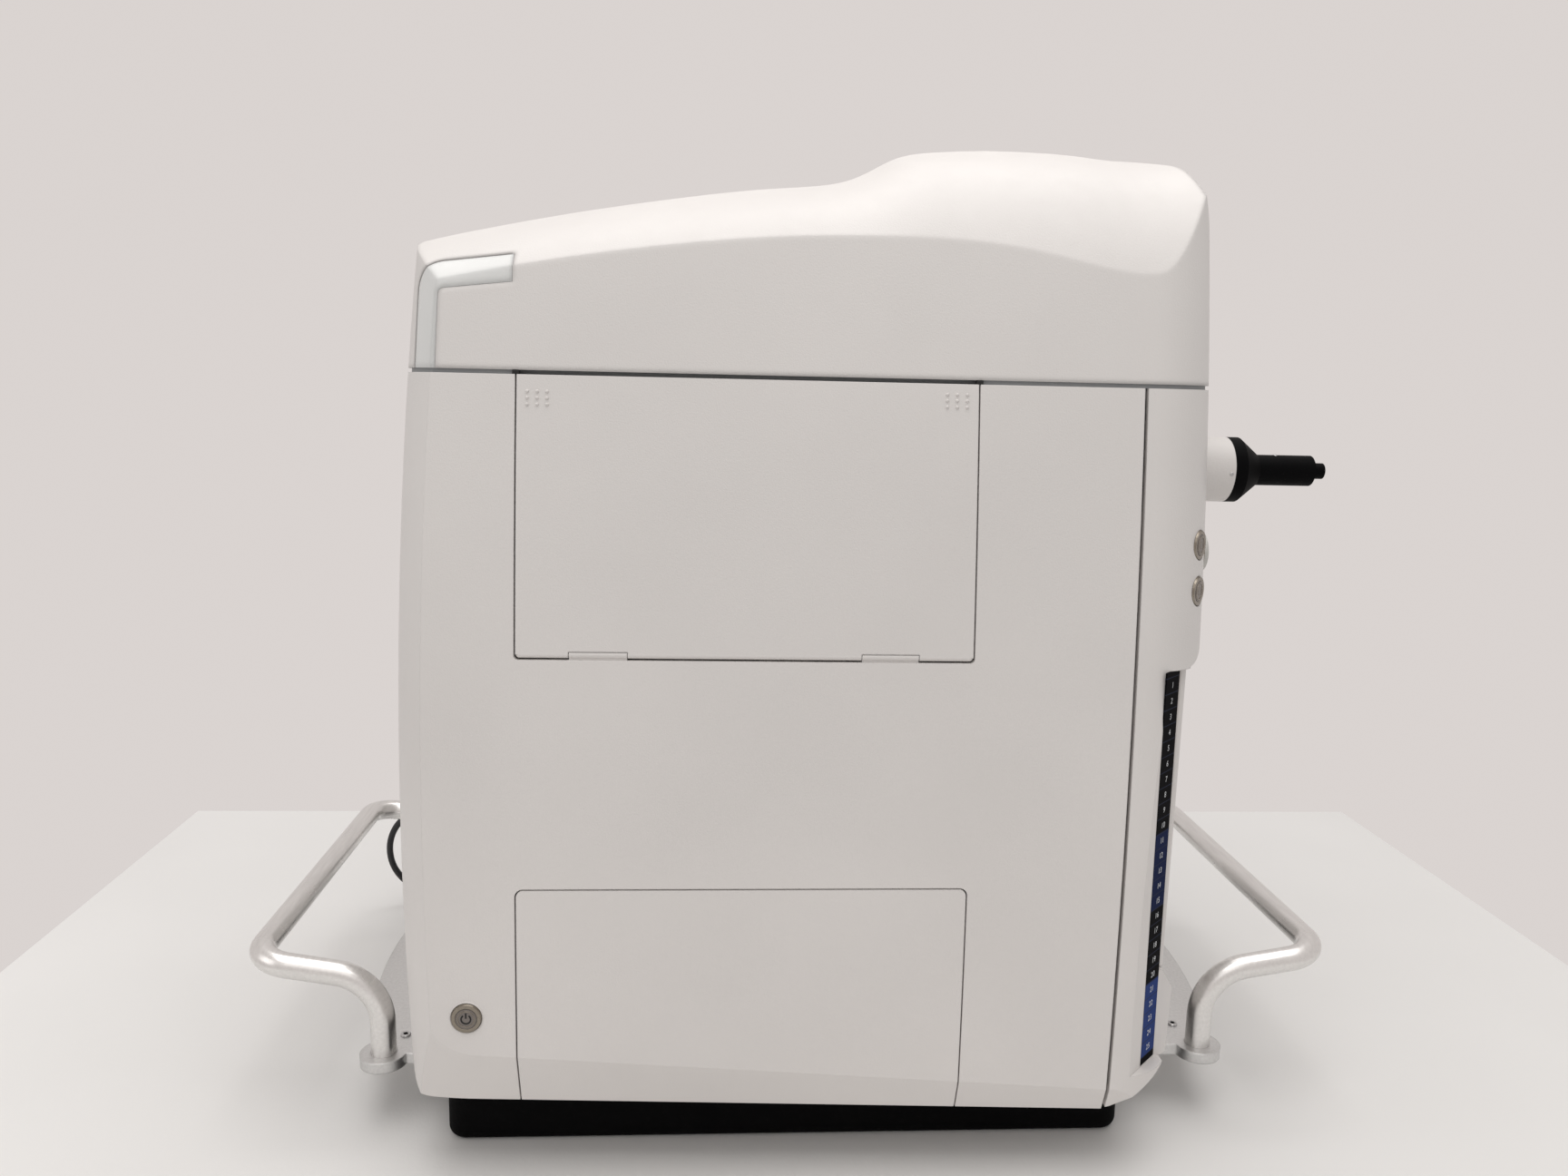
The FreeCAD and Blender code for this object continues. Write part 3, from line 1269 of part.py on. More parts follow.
def camera():
    """Finned camera on top of the arm."""
    half = CAMERA_WIDE / 2
    z0 = ARM_HIGH_Z + 14
    flange = rod(24.0, V(OPTIC_X, OPTIC_Y, ARM_HIGH_Z), V(0, 0, 1), 14)
    body = prism_z(rectangle(OPTIC_X - half, OPTIC_X + half, OPTIC_Y - half, OPTIC_Y + half, 5.0), z0,
                   z0 + CAMERA_HIGH)
    cuts = []
    for k in range(5):
        z = z0 + 24 + 10 * k
        cuts.append(box(OPTIC_X - half - 1, OPTIC_X - half + 6, OPTIC_Y - half - 1, OPTIC_Y + half + 1, z, z + 5))
        cuts.append(box(OPTIC_X + half - 6, OPTIC_X + half + 1, OPTIC_Y - half - 1, OPTIC_Y + half + 1, z, z + 5))
    return union([flange, body]).cut(cuts)


def condenser():
    deck_z = STAGE_Z - 2 * STAGE_THICK - 4.0 - DECK_THICK
    top = STAGE_Z - 2 * STAGE_THICK - 1.6
    body = [(0, 0), (0, CONDENSER_R + 6), (28, CONDENSER_R + 6), (34, CONDENSER_R), (top - deck_z + 34, CONDENSER_R),
            (top - deck_z + 34, 0)]
    return turned(body, V(OPTIC_X, OPTIC_Y, deck_z - 34), V(0, 0, 1))


# ---------------------------------------------------------------- electronics, fan, ports


def power_supply():
    low = BASE_TOP_Z + PLATE_THICK
    return prism_z(rectangle(-205.0, -60.0, -190.0, -60.0, 4.0), low, low + 90)


def control_board():
    low = BASE_TOP_Z + PLATE_THICK
    board = box(-262.0, -60.0, 20.0, 22.0, low + 6, low + 150)
    feet = [box(x, x + 12, 14.0, 28.0, low, low + 6) for x in (-250.0, -90.0)]
    chips = [box(x, x + 30, 16.0, 20.0, z, z + 22) for x in (-240.0, -190.0, -130.0) for z in (110.0, 160.0)]
    return union([board] + feet + chips)


def fan_frame():
    x, z = FAN_AT
    half = FAN_FRAME / 2
    y1 = BACK_Y - COVER_WALL
    y0 = y1 - FAN_DEEP
    body = prism_y(rectangle(x - half, x + half, z - half, z + half, 6.0), y0, y1)
    body = body.cut(rod(FAN_R + 1.5, V(x, y0 - 1, z), V(0, 1, 0), FAN_DEEP + 2))
    arms = [box(x - half + 2, x + half - 2, y0, y0 + 3, z - 3, z + 3),
            box(x - 3, x + 3, y0, y0 + 3, z - half + 2, z + half - 2)]
    hub = rod(16.0, V(x, y0, z), V(0, 1, 0), 3)
    axle = rod(3.0, V(x, y0, z), V(0, 1, 0), 18)
    return union([body, hub, axle] + arms)


def fan_rotor():
    x, z = FAN_AT
    y0 = BACK_Y - COVER_WALL - FAN_DEEP + 4
    hub = rod(17.0, V(x, y0, z), V(0, 1, 0), 16)
    blades = []
    for k in range(FAN_BLADES):
        blade = Part.makeBox(FAN_R - 17, 2.0, 14.0, V(15, -1, -7))
        blade.rotate(V(0, 0, 0), V(1, 0, 0), 40)
        blade.rotate(V(0, 0, 0), V(0, 1, 0), 360.0 / FAN_BLADES * k)
        blade.translate(V(x, y0 + 8, z))
        blades.append(blade)
    bore = rod(3.0 + PIN_PLAY, V(x, y0 - 1, z), V(0, 1, 0), 16)
    return union([hub] + blades).cut(bore)


def port_panel():
    """Metal plate with the data sockets in the back."""
    plate = port_window(0.4).common(box(-FAR, FAR, BACK_Y - 3.2, BACK_Y - 1.2, 0, HIGH))
    plate = plate.cut(port_holes())
    tabs = box(PORT_X[0] - 6, PORT_X[1] + 6, BACK_Y - COVER_WALL - 1.6, BACK_Y - COVER_WALL, PORT_Z[0] - 6,
               PORT_Z[1] + 6)
    tabs = tabs.cut(port_holes())
    rim = port_window(0.4).common(box(-FAR, FAR, BACK_Y - COVER_WALL - 0.1, BACK_Y - 1.2, 0, HIGH))
    rim = rim.cut(box(PORT_X[0] + 4, PORT_X[1] - 4, 0, FAR, PORT_Z[0] + 4, PORT_Z[1] - 4))
    return union([plate, tabs, rim])


def port_holes():
    holes = []
    for k in range(3):
        x = PORT_X[0] + 22 + 22 * k
        holes.append(box(x, x + 15, BACK_Y - 40, BACK_Y + 5, 128.0, 141.0))
    holes.append(box(PORT_X[0] + 90, PORT_X[0] + 106, BACK_Y - 40, BACK_Y + 5, 127.0, 143.0))
    return holes


# ---------------------------------------------------------------- mains inlet and lead


def inlet_x():
    return left_x(INLET_Z)


def mains_inlet():
    """Socket set into the left end; the lead's connector seats in it."""
    x1 = inlet_x() + 30
    x0 = inlet_x() + 1.2
    y = INLET_Y
    body = box(x0, x1, y - INLET_WIDE / 2 + 0.3, y + INLET_WIDE / 2 - 0.3, INLET_Z - INLET_HIGH / 2 + 0.3,
               INLET_Z + INLET_HIGH / 2 - 0.3)
    well = box(x0 - 1, x0 + 17, y - 12.0, y + 12.0, INLET_Z - 8.5, INLET_Z + 8.5)
    return body.cut(well)


def cord_connector():
    """Moulded connector with its tapered strain relief."""
    x1 = inlet_x() + 1.2 + 16.5
    x0 = x1 - PLUG_LONG - 10
    y = INLET_Y
    nose = box(x1 - 24, x1, y - 11.7, y + 11.7, INLET_Z - 8.2, INLET_Z + 8.2)
    body = prism_x(rectangle(y - 13.5, y + 13.5, INLET_Z - 10.5, INLET_Z + 10.5, 4.0), x0, inlet_x() - 1.5)
    relief = turned([(0, 0), (0, 6.0), (RELIEF_LONG, CORD_R + 0.8), (RELIEF_LONG, 0)], V(x0, y, INLET_Z),
                    V(-1, 0, 0))
    return union([nose, body, relief])


def relief_x():
    return inlet_x() + 1.2 + 16.5 - PLUG_LONG - 10


FLOOR = CORD_R + 0.1
COIL_AT = (-150.0, 318.0)
COIL_MID_R = 42.0
PLUG_AT = (28.4, -49.5)  # start of the plug's tail from the middle of the coil
COIL_WIDE = 3.2 * CORD_R
COIL_HIGH = 4 * CORD_R + 0.4


def cord_route():
    """Points from the strain relief to the coil behind the housing."""
    x = relief_x() - RELIEF_LONG
    y = INLET_Y
    z = INLET_Z
    return [V(x, y, z), V(x - 26, y, z), V(x - 54, y + 3, z - 15), V(x - 68, y + 7, z - 45),
            V(x - 64, y + 13, z - 80), V(x - 40, y + 24, FLOOR + 11.4), V(x - 4, y + 40, FLOOR),
            V(x + 50, y + 56, FLOOR), V(x + 98, y + 68, FLOOR), V(x + 144, y + 73, FLOOR),
            V(COIL_AT[0] - 38, COIL_AT[1] - COIL_MID_R - 1, FLOOR), V(COIL_AT[0] - 8, COIL_AT[1] - COIL_MID_R, FLOOR)]


def route_radii(points):
    radii = [None]
    for before, here, after in zip(points, points[1:], points[2:]):
        back = before - here
        ahead = after - here
        turn = math.pi - back.getAngle(ahead)
        radii.append(0.45 * min(back.Length, ahead.Length) / math.tan(turn / 2))
    radii.append(None)
    return radii


def mains_cord():
    points = cord_route()
    radii = route_radii(points)
    wire = soft_wire(points, radii)
    first = (points[1] - points[0]).normalize()
    side = first.cross(V(0, 0, 1)).normalize()
    up = side.cross(first)
    steps = [2 * math.pi * k / CORD_SIDES for k in range(CORD_SIDES + 1)]
    ring = Part.makePolygon([points[0] + side * CORD_R * math.cos(a) + up * CORD_R * math.sin(a) for a in steps])
    return wire.makePipeShell([ring], True, True).cut(cord_coil())


def cord_coil():
    r0 = COIL_MID_R - COIL_WIDE
    r1 = COIL_MID_R + COIL_WIDE
    profile = [(0.1, r0), (0.1, r1), (COIL_HIGH, r1), (COIL_HIGH, r0)]
    return turned(profile, V(COIL_AT[0], COIL_AT[1], 0), V(0, 0, 1))


def mains_plug():
    """Two-pin plug lying beside the coil."""
    x = COIL_AT[0] + PLUG_AT[0]
    y = COIL_AT[1] + PLUG_AT[1]
    z = 11.0
    body = prism_x(rectangle(y - 17, y + 17, z - 10.9, z + 9.5, 5.0), x + 22, x + 56)
    tail = turned([(0, 0), (0, 4.3), (22, 7.0), (22, 0)], V(x, y, z - 2), V(1, 0, 0))
    pins = [rod(2.4, V(x + 55, y + s * 9.5, z), V(1, 0, 0), 19) for s in (-1, 1)]
    return union([body, tail] + pins)


# ---------------------------------------------------------------- build


def main():
    os.makedirs("parts", exist_ok=True)
    shell = front_shell()
    save("front_cover", front_cover(shell))
    save("front_flap", front_flap(shell))
    save("service_panel", service_panel(shell))
    save("rear_cover", rear_cover())
    top = top_shell()
    save("top_cover", top_cover(top))
    save("status_light", status_light(top))
    save("side_column", side_column())
    save("number_scale", number_scale())
    save("loading_door", door_solid())
    save("door_pins", group(door_pins()))
    save("base_tray", base_tray())
    save("foot_pads", foot_pads())
    save("chassis", chassis())
    save("handle_left", handle_tube(-1))
    save("handle_right", handle_tube(1))
    save("bracket_left", bracket(-1))
    save("bracket_right", bracket(1))
    save("bracket_pads", bracket_pads())
    save("adapter_tube", adapter_tube())
    save("adapter_collar", adapter_collar())
    save("adapter_barrel", adapter_barrel())
    save("lamp_tube", lamp_tube())
    rings = [bezel(*power_place())] + [bezel(*control_place(z)) for z in CONTROL_Z]
    save("button_bezels", group(rings + [side_ring()]))
    save("power_button", cap(*power_place()))
    for name, z in zip(("upper", "lower"), CONTROL_Z):
        save("control_button_" + name, cap(*control_place(z)))
    save("side_button", side_cap())
    save("magazine_rack", magazine_rack())
    save("slide_trays", slide_trays())
    save("lift_frame", lift_frame())
    save("lift_rods", lift_rods())
    save("lift_screw", lift_screw())
    save("tray_lift", tray_lift())
    save("tray_gripper", tray_gripper())
    save("microscope_stand", stand())
    save("stage_rails", stage_rails())
    save("stage_y", stage_y())
    save("stage_x", stage_x())
    save("stage_tray", tray(OPTIC_X - TRAY_LONG / 2, OPTIC_Y, STAGE_Z))
    save("glass_slides", group(slides(OPTIC_X - TRAY_LONG / 2, OPTIC_Y, STAGE_Z)))
    save("focus_block", focus_block())
    save("objective_turret", turret())
    save("objectives", objectives())
    save("camera", camera())
    save("condenser", condenser())
    save("power_supply", power_supply())
    save("control_board", control_board())
    save("fan_frame", fan_frame())
    save("fan_rotor", fan_rotor())
    save("port_panel", port_panel())
    save("mains_inlet", mains_inlet())
    save("cord_connector", cord_connector())
    save("mains_cord", mains_cord())
    save("cord_coil", cord_coil())
    save("mains_plug", mains_plug())


main()
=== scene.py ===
import json
import math

import bmesh
import bpy
from mathutils import Matrix, Vector


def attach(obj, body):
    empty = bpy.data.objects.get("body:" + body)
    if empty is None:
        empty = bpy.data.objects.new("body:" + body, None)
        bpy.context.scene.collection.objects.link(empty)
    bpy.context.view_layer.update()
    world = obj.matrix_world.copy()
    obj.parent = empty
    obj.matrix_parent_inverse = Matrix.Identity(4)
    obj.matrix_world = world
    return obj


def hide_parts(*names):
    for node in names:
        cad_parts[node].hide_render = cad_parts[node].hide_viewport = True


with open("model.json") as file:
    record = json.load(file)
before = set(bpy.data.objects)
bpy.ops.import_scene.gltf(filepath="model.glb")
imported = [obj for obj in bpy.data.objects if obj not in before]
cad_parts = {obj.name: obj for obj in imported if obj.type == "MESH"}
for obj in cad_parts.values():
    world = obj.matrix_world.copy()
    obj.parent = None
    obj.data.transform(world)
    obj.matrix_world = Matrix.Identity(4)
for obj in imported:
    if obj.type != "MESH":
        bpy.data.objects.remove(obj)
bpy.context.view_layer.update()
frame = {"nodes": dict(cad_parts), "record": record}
scene = bpy.context.scene
scene.view_settings.view_transform = "Standard"


# ------------------------------------------------------------------ camera

CAMERA_AT = (-0.0755, -1.0755, 0.5943)
CAMERA_RIGHT = (0.9982, -0.0569, 0.0220)
CAMERA_UP = (-0.0122, 0.1677, 0.9858)
FILM_WIDE = 36.0
LENS_LONG = 27.02


def place_camera():
    """Eye in front of the service side, turned a little to the left and down."""
    lens = bpy.data.cameras.new("service_side_view")
    lens.sensor_width = FILM_WIDE
    lens.lens = LENS_LONG
    lens.clip_end = 50.0
    camera = bpy.data.objects.new("service_side_view", lens)
    scene.collection.objects.link(camera)
    right = Vector(CAMERA_RIGHT).normalized()
    back = right.cross(Vector(CAMERA_UP)).normalized()
    up = back.cross(right)
    turn = Matrix((right, up, back)).transposed()
    camera.matrix_world = Matrix.Translation(CAMERA_AT) @ turn.to_4x4()
    scene.camera = camera


place_camera()


# ------------------------------------------------------------------ materials

def shader(name, colour, roughness, metallic=0.0):
    """New material and its Principled node."""
    material = bpy.data.materials.new(name)
    material.use_nodes = True
    principled = material.node_tree.nodes["Principled BSDF"]
    principled.inputs["Base Color"].default_value = (*colour, 1.0)
    principled.inputs["Roughness"].default_value = roughness
    principled.inputs["Metallic"].default_value = metallic
    return material, principled


def object_space(material, stretch=(1.0, 1.0, 1.0)):
    """Object coordinates, drawn out where the stretch is small."""
    tree = material.node_tree
    place = tree.nodes.new("ShaderNodeTexCoord")
    mapping = tree.nodes.new("ShaderNodeMapping")
    mapping.inputs["Scale"].default_value = stretch
    tree.links.new(place.outputs["Object"], mapping.inputs["Vector"])
    return mapping.outputs["Vector"]


def grain(material, space, scale, detail=2.0):
    """Noise value of a given fineness, per metre."""
    noise = material.node_tree.nodes.new("ShaderNodeTexNoise")
    noise.inputs["Scale"].default_value = scale
    noise.inputs["Detail"].default_value = detail
    noise.inputs["Roughness"].default_value = 0.5
    material.node_tree.links.new(space, noise.inputs["Vector"])
    return noise.outputs["Fac"]


NOISE_LOW = 0.3
NOISE_HIGH = 0.7


def spread(material, value, dark, light):
    """A noise value turned into a small swing between two colours."""
    ramp = material.node_tree.nodes.new("ShaderNodeValToRGB")
    ramp.color_ramp.elements[0].position = NOISE_LOW
    ramp.color_ramp.elements[0].color = (*dark, 1.0)
    ramp.color_ramp.elements[1].position = NOISE_HIGH
    ramp.color_ramp.elements[1].color = (*light, 1.0)
    material.node_tree.links.new(value, ramp.inputs["Fac"])
    return ramp.outputs["Color"]


def swing(material, value, low, high):
    """A noise value turned into a small swing between two numbers."""
    between = material.node_tree.nodes.new("ShaderNodeMapRange")
    between.inputs["From Min"].default_value = NOISE_LOW
    between.inputs["From Max"].default_value = NOISE_HIGH
    between.inputs["To Min"].default_value = low
    between.inputs["To Max"].default_value = high
    material.node_tree.links.new(value, between.inputs["Value"])
    return between.outputs["Result"]


def emboss(material, value, depth, edge=0.0):
    """Relief from a value, over edges that look eased by a small radius."""
    nodes = material.node_tree.nodes
    bump = nodes.new("ShaderNodeBump")
    bump.inputs["Distance"].default_value = depth
    bump.inputs["Strength"].default_value = 1.0
    material.node_tree.links.new(value, bump.inputs["Height"])
    if edge > 0.0:
        eased = nodes.new("ShaderNodeBevel")
        eased.samples = 4
        eased.inputs["Radius"].default_value = edge
        material.node_tree.links.new(eased.outputs["Normal"], bump.inputs["Normal"])
    return bump.outputs["Normal"]


def textured_paint(name, colour, roughness, pebble=900.0, depth=0.00012, edge=0.0, shine=0.5):
    """Sprayed coat with a fine pebble, and a faint cloudiness in colour and sheen."""
    material, principled = shader(name, colour, roughness)
    link = material.node_tree.links.new
    space = object_space(material)
    cloud = grain(material, space, 7.0, 3.0)
    darker = [c * 0.975 for c in colour]
    lighter = [min(1.0, c * 1.02) for c in colour]
    link(spread(material, cloud, darker, lighter), principled.inputs["Base Color"])
    link(swing(material, grain(material, space, 60.0), roughness - 0.04, roughness + 0.05),
         principled.inputs["Roughness"])
    link(emboss(material, grain(material, space, pebble, 1.0), depth, edge), principled.inputs["Normal"])
    principled.inputs["Specular IOR Level"].default_value = shine
    return material


def satin_metal(name, colour, roughness, stretch=(1.0, 1.0, 1.0), line=400.0, depth=0.00003, edge=0.0):
    """Metal with a brushed or blasted surface, longer along one axis where it was brushed."""
    material, principled = shader(name, colour, roughness, 1.0)
    link = material.node_tree.links.new
    space = object_space(material, stretch)
    streak = grain(material, space, line, 3.0)
    darker = [c * 0.9 for c in colour]
    link(spread(material, streak, darker, colour), principled.inputs["Base Color"])
    link(swing(material, grain(material, object_space(material), 25.0), roughness - 0.05, roughness + 0.07),
         principled.inputs["Roughness"])
    link(emboss(material, streak, depth, edge), principled.inputs["Normal"])
    return material


def moulded(name, colour, roughness, depth=0.00005):
    """Moulded plastic or rubber with a fine spark-eroded grain."""
    material, principled = shader(name, colour, roughness)
    link = material.node_tree.links.new
    space = object_space(material)
    cloud = grain(material, space, 30.0)
    link(spread(material, cloud, [c * 0.92 for c in colour], [min(1.0, c * 1.08) for c in colour]),
         principled.inputs["Base Color"])
    link(emboss(material, grain(material, space, 1600.0, 1.0), depth), principled.inputs["Normal"])
    return material


SHELL_WHITE = (0.745, 0.715, 0.695)
SHELL_ROUGH = 0.42
SHELL_EDGE = 0.0011
HOOD_EDGE = 0.006
DEEP_BLACK = (0.002, 0.002, 0.0022)
ADAPTER_BLACK = (0.0015, 0.0015, 0.0018)
FINISH = {
    "housing_paint": textured_paint("housing_paint", SHELL_WHITE, SHELL_ROUGH, edge=SHELL_EDGE),
    "door_paint": textured_paint("door_paint", SHELL_WHITE, SHELL_ROUGH, edge=SHELL_EDGE),
    "base_black": textured_paint("base_black", DEEP_BLACK, 0.7, 500.0, 0.0002, shine=0.06),
    "rubber_foot": moulded("rubber_foot", (0.012, 0.012, 0.012), 0.8),
    "frame_grey": textured_paint("frame_grey", (0.30, 0.31, 0.32), 0.5),
    "steel": satin_metal("steel", (0.55, 0.55, 0.55), 0.28, (1.0, 1.0, 0.05)),
    "satin_aluminium": satin_metal("satin_aluminium", (0.80, 0.79, 0.775), 0.30, (1.0, 0.08, 1.0)),
    "bracket_aluminium": satin_metal("bracket_aluminium", (0.68, 0.68, 0.675), 0.42, edge=0.0022),
    "adapter_black": textured_paint("adapter_black", ADAPTER_BLACK, 0.55, 700.0, 0.00006, shine=0.05),
    "inner_black": textured_paint("inner_black", (0.02, 0.02, 0.022), 0.4, 700.0, 0.00006),
    "bezel_metal": satin_metal("bezel_metal", (0.27, 0.24, 0.20), 0.24, edge=0.0005),
    "button_grey": moulded("button_grey", (0.20, 0.175, 0.16), 0.36),
    "button_pale": moulded("button_pale", (0.60, 0.59, 0.56), 0.32),
    "rack_aluminium": satin_metal("rack_aluminium", (0.52, 0.53, 0.54), 0.36, (0.1, 1.0, 1.0)),
    "tray_black": moulded("tray_black", (0.02, 0.02, 0.022), 0.45),
    "stand_white": textured_paint("stand_white", (0.55, 0.55, 0.54), 0.35),
    "lens_chrome": satin_metal("lens_chrome", (0.62, 0.62, 0.62), 0.18),
    "board_green": moulded("board_green", (0.01, 0.09, 0.035), 0.35),
    "fan_black": moulded("fan_black", (0.015, 0.015, 0.015), 0.45),
    "cord_black": moulded("cord_black", (0.010, 0.010, 0.011), 0.5),
}
LABEL_INK = moulded("label_ink", (0.62, 0.64, 0.66), 0.5, 0.00001)
SYMBOL_INK = moulded("symbol_ink", (0.004, 0.004, 0.004), 0.6, 0.00001)


def milky_diffuser():
    """Frosted plastic of the light bar, with a faint glow from behind."""
    material, principled = shader("light_bar", (0.58, 0.58, 0.57), 0.2)
    link = material.node_tree.links.new
    space = object_space(material)
    link(spread(material, grain(material, space, 14.0), (0.55, 0.555, 0.545), (0.61, 0.61, 0.60)),
         principled.inputs["Base Color"])
    link(emboss(material, grain(material, space, 1200.0), 0.00002, 0.007), principled.inputs["Normal"])
    principled.inputs["Subsurface Weight"].default_value = 0.3
    principled.inputs["Subsurface Radius"].default_value = (0.004, 0.004, 0.004)
    principled.inputs["Coat Weight"].default_value = 0.3
    principled.inputs["Emission Color"].default_value = (1.0, 0.99, 0.965, 1.0)
    principled.inputs["Emission Strength"].default_value = 0.1
    return material


def thin_glass():
    """Glass of the microscope slides, faintly smeared."""
    material, principled = shader("slide_glass", (0.88, 0.95, 0.94), 0.04)
    link = material.node_tree.links.new
    smear = grain(material, object_space(material), 40.0)
    link(swing(material, smear, 0.03, 0.08), principled.inputs["Roughness"])
    principled.inputs["Transmission Weight"].default_value = 0.85
    principled.inputs["IOR"].default_value = 1.45
    return material


PLACES = 25
PLACE_PITCH = 0.012
PLACE_FIRST_Z = 0.386
STRIP_LOW_Z = 0.0863
STRIP_HIGH_Z = 0.3967
STRIP_BLACK = (0.002, 0.002, 0.003)
STRIP_DUSK = (0.010, 0.017, 0.060)
STRIP_BLUE = (0.030, 0.055, 0.190)
STRIP_LINE = (0.030, 0.036, 0.060)
LINE_SHARE = 0.05


def field_top(place):
    """Upper edge of a numbered field on the strip."""
    return PLACE_FIRST_Z + PLACE_PITCH * (1.5 - place)


def numbered_strip():
    """Black strip whose fields 11 to 15 and 21 to 25 are blue, with a fine line between the fields."""
    material, principled = shader("scale_black", STRIP_BLACK, 0.55)
    principled.inputs["Specular IOR Level"].default_value = 0.02
    nodes = material.node_tree.nodes
    link = material.node_tree.links.new

    def worked(operation, value, number):
        step = nodes.new("ShaderNodeMath")
        step.operation = operation
        step.inputs[1].default_value = number
        link(value, step.inputs[0])
        return step.outputs[0]

    place = nodes.new("ShaderNodeTexCoord")
    parts = nodes.new("ShaderNodeSeparateXYZ")
    link(place.outputs["Object"], parts.inputs[0])
    along = nodes.new("ShaderNodeMapRange")
    along.inputs["From Min"].default_value = STRIP_LOW_Z
    along.inputs["From Max"].default_value = STRIP_HIGH_Z
    link(parts.outputs["Z"], along.inputs["Value"])
    ramp = nodes.new("ShaderNodeValToRGB")
    ramp.color_ramp.interpolation = "CONSTANT"
    bands = [(field_top(26), STRIP_BLUE), (field_top(21), STRIP_BLACK), (field_top(16), STRIP_DUSK),
             (field_top(11), STRIP_BLACK)]
    shares = [(height - STRIP_LOW_Z) / (STRIP_HIGH_Z - STRIP_LOW_Z) for height, colour in bands]
    ramp.color_ramp.elements[0].color = (*STRIP_BLACK, 1.0)
    ramp.color_ramp.elements[1].position = shares[0]
    ramp.color_ramp.elements[1].color = (*bands[0][1], 1.0)
    for share, (height, colour) in list(zip(shares, bands))[1:]:
        ramp.color_ramp.elements.new(share).color = (*colour, 1.0)
    link(along.outputs["Result"], ramp.inputs["Fac"])
    above = worked("SUBTRACT", parts.outputs["Z"], field_top(26))
    fields = worked("DIVIDE", above, PLACE_PITCH)
    on_line = worked("LESS_THAN", worked("FRACT", fields, 0.0), LINE_SHARE)
    mix = nodes.new("ShaderNodeMix")
    mix.data_type = "RGBA"
    mix.inputs[7].default_value = (*STRIP_LINE, 1.0)
    link(on_line, mix.inputs[0])
    link(ramp.outputs["Color"], mix.inputs[6])
    link(mix.outputs[2], principled.inputs["Base Color"])
    sheen = grain(material, object_space(material), 900.0)
    link(emboss(material, sheen, 0.00001), principled.inputs["Normal"])
    return material


FINISH["light_bar"] = milky_diffuser()
HOOD_PAINT = textured_paint("hood_paint", SHELL_WHITE, SHELL_ROUGH, edge=HOOD_EDGE)
FINISH["slide_glass"] = thin_glass()
FINISH["scale_black"] = numbered_strip()


def dress_cad_nodes():
    """Finish of each solid by its slot; the hood has wider eased edges."""
    slots = {part["node"]: part["material_slot"] for part in frame["record"]["subparts"]}
    for name, node in frame["nodes"].items():
        finish = HOOD_PAINT if name == "top_cover" else FINISH[slots[name]]
        if not node.data.materials:
            node.data.materials.append(finish)
        for slot in node.material_slots:
            slot.material = finish


dress_cad_nodes()


# ------------------------------------------------------------------ mains lead

CORD_R = 0.0035
LEAD_EXIT = (-0.37022, 0.200, 0.124)
LEAD_FALL = ((0.0, 0.0, 0.0), (-0.026, 0.0, 0.0), (-0.054, 0.003, -0.015), (-0.068, 0.007, -0.045),
             (-0.064, 0.013, -0.080))
LEAD_RUN = ((-0.040, 0.024, 0.0114), (-0.004, 0.040, 0.0), (0.050, 0.056, 0.0), (0.098, 0.068, 0.0),
            (0.144, 0.073, 0.0), (0.17622, 0.0705, 0.0), (0.20022, 0.0688, 0.0))
COIL_CENTRE = (-0.150, 0.318)
COIL_R = 0.0495
COIL_STEP = 0.0050
COIL_RISE = 0.0071
COIL_TURNS = 6
STEPS_PER_TURN = 16


def coil_place(along):
    """Place after so many turns: three inwards on the table, then three outwards on top of them."""
    angle = -math.pi / 2 + 2 * math.pi * along
    half = COIL_TURNS / 2
    inwards = min(along, half)
    radius = COIL_R - COIL_STEP * inwards + COIL_STEP * (along - inwards)
    climb = min(1.0, max(0.0, (along - half + 0.3) / 0.6))
    rise = COIL_RISE * climb * climb * (3 - 2 * climb)
    return COIL_CENTRE[0] + radius * math.cos(angle), COIL_CENTRE[1] + radius * math.sin(angle), rise


def lead_points():
    """Way of the mains lead: out of its inlet, down to the table, and into the coil."""
    x, y, z = LEAD_EXIT
    floor = CORD_R + 0.0001
    points = [(x + dx, y + dy, z + dz) for dx, dy, dz in LEAD_FALL]
    points += [(x + dx, y + dy, floor + dz) for dx, dy, dz in LEAD_RUN]
    for k in range(COIL_TURNS * STEPS_PER_TURN + 1):
        coil_x, coil_y, rise = coil_place(k / STEPS_PER_TURN)
        points.append((coil_x, coil_y, floor + rise))
    points.append((-0.1376, COIL_CENTRE[1] - COIL_R, floor + 0.0066))
    points.append((-0.1216, COIL_CENTRE[1] - COIL_R, 0.009))
    return points


def make_lead():
    """Round mains lead on its centre line."""
    route = bpy.data.curves.new("mains_lead", "CURVE")
    route.dimensions = "3D"
    route.bevel_depth = CORD_R
    route.bevel_resolution = 6
    route.resolution_u = 8
    spline = route.splines.new("NURBS")
    points = lead_points()
    spline.points.add(len(points) - 1)
    for point, place in zip(spline.points, points):
        point.co = (*place, 1.0)
    spline.order_u = 3
    spline.use_endpoint_u = True
    lead = bpy.data.objects.new("mains_lead", route)
    scene.collection.objects.link(lead)
    route.materials.append(FINISH["cord_black"])
    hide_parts("mains_cord", "cord_coil")
    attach(lead, "housing")


make_lead()


# ------------------------------------------------------------------ small pieces

FRONT_LOW_Y = -0.2745
FRONT_LOW_Z = 0.071
FRONT_ARC = 6.6
SEAM_Z = 0.6005
BACK_Y = 0.232


def front_y(z):
    """Depth of the front face at a height; it leans back as one arc."""
    return FRONT_LOW_Y + (z - FRONT_LOW_Z) ** 2 / FRONT_ARC


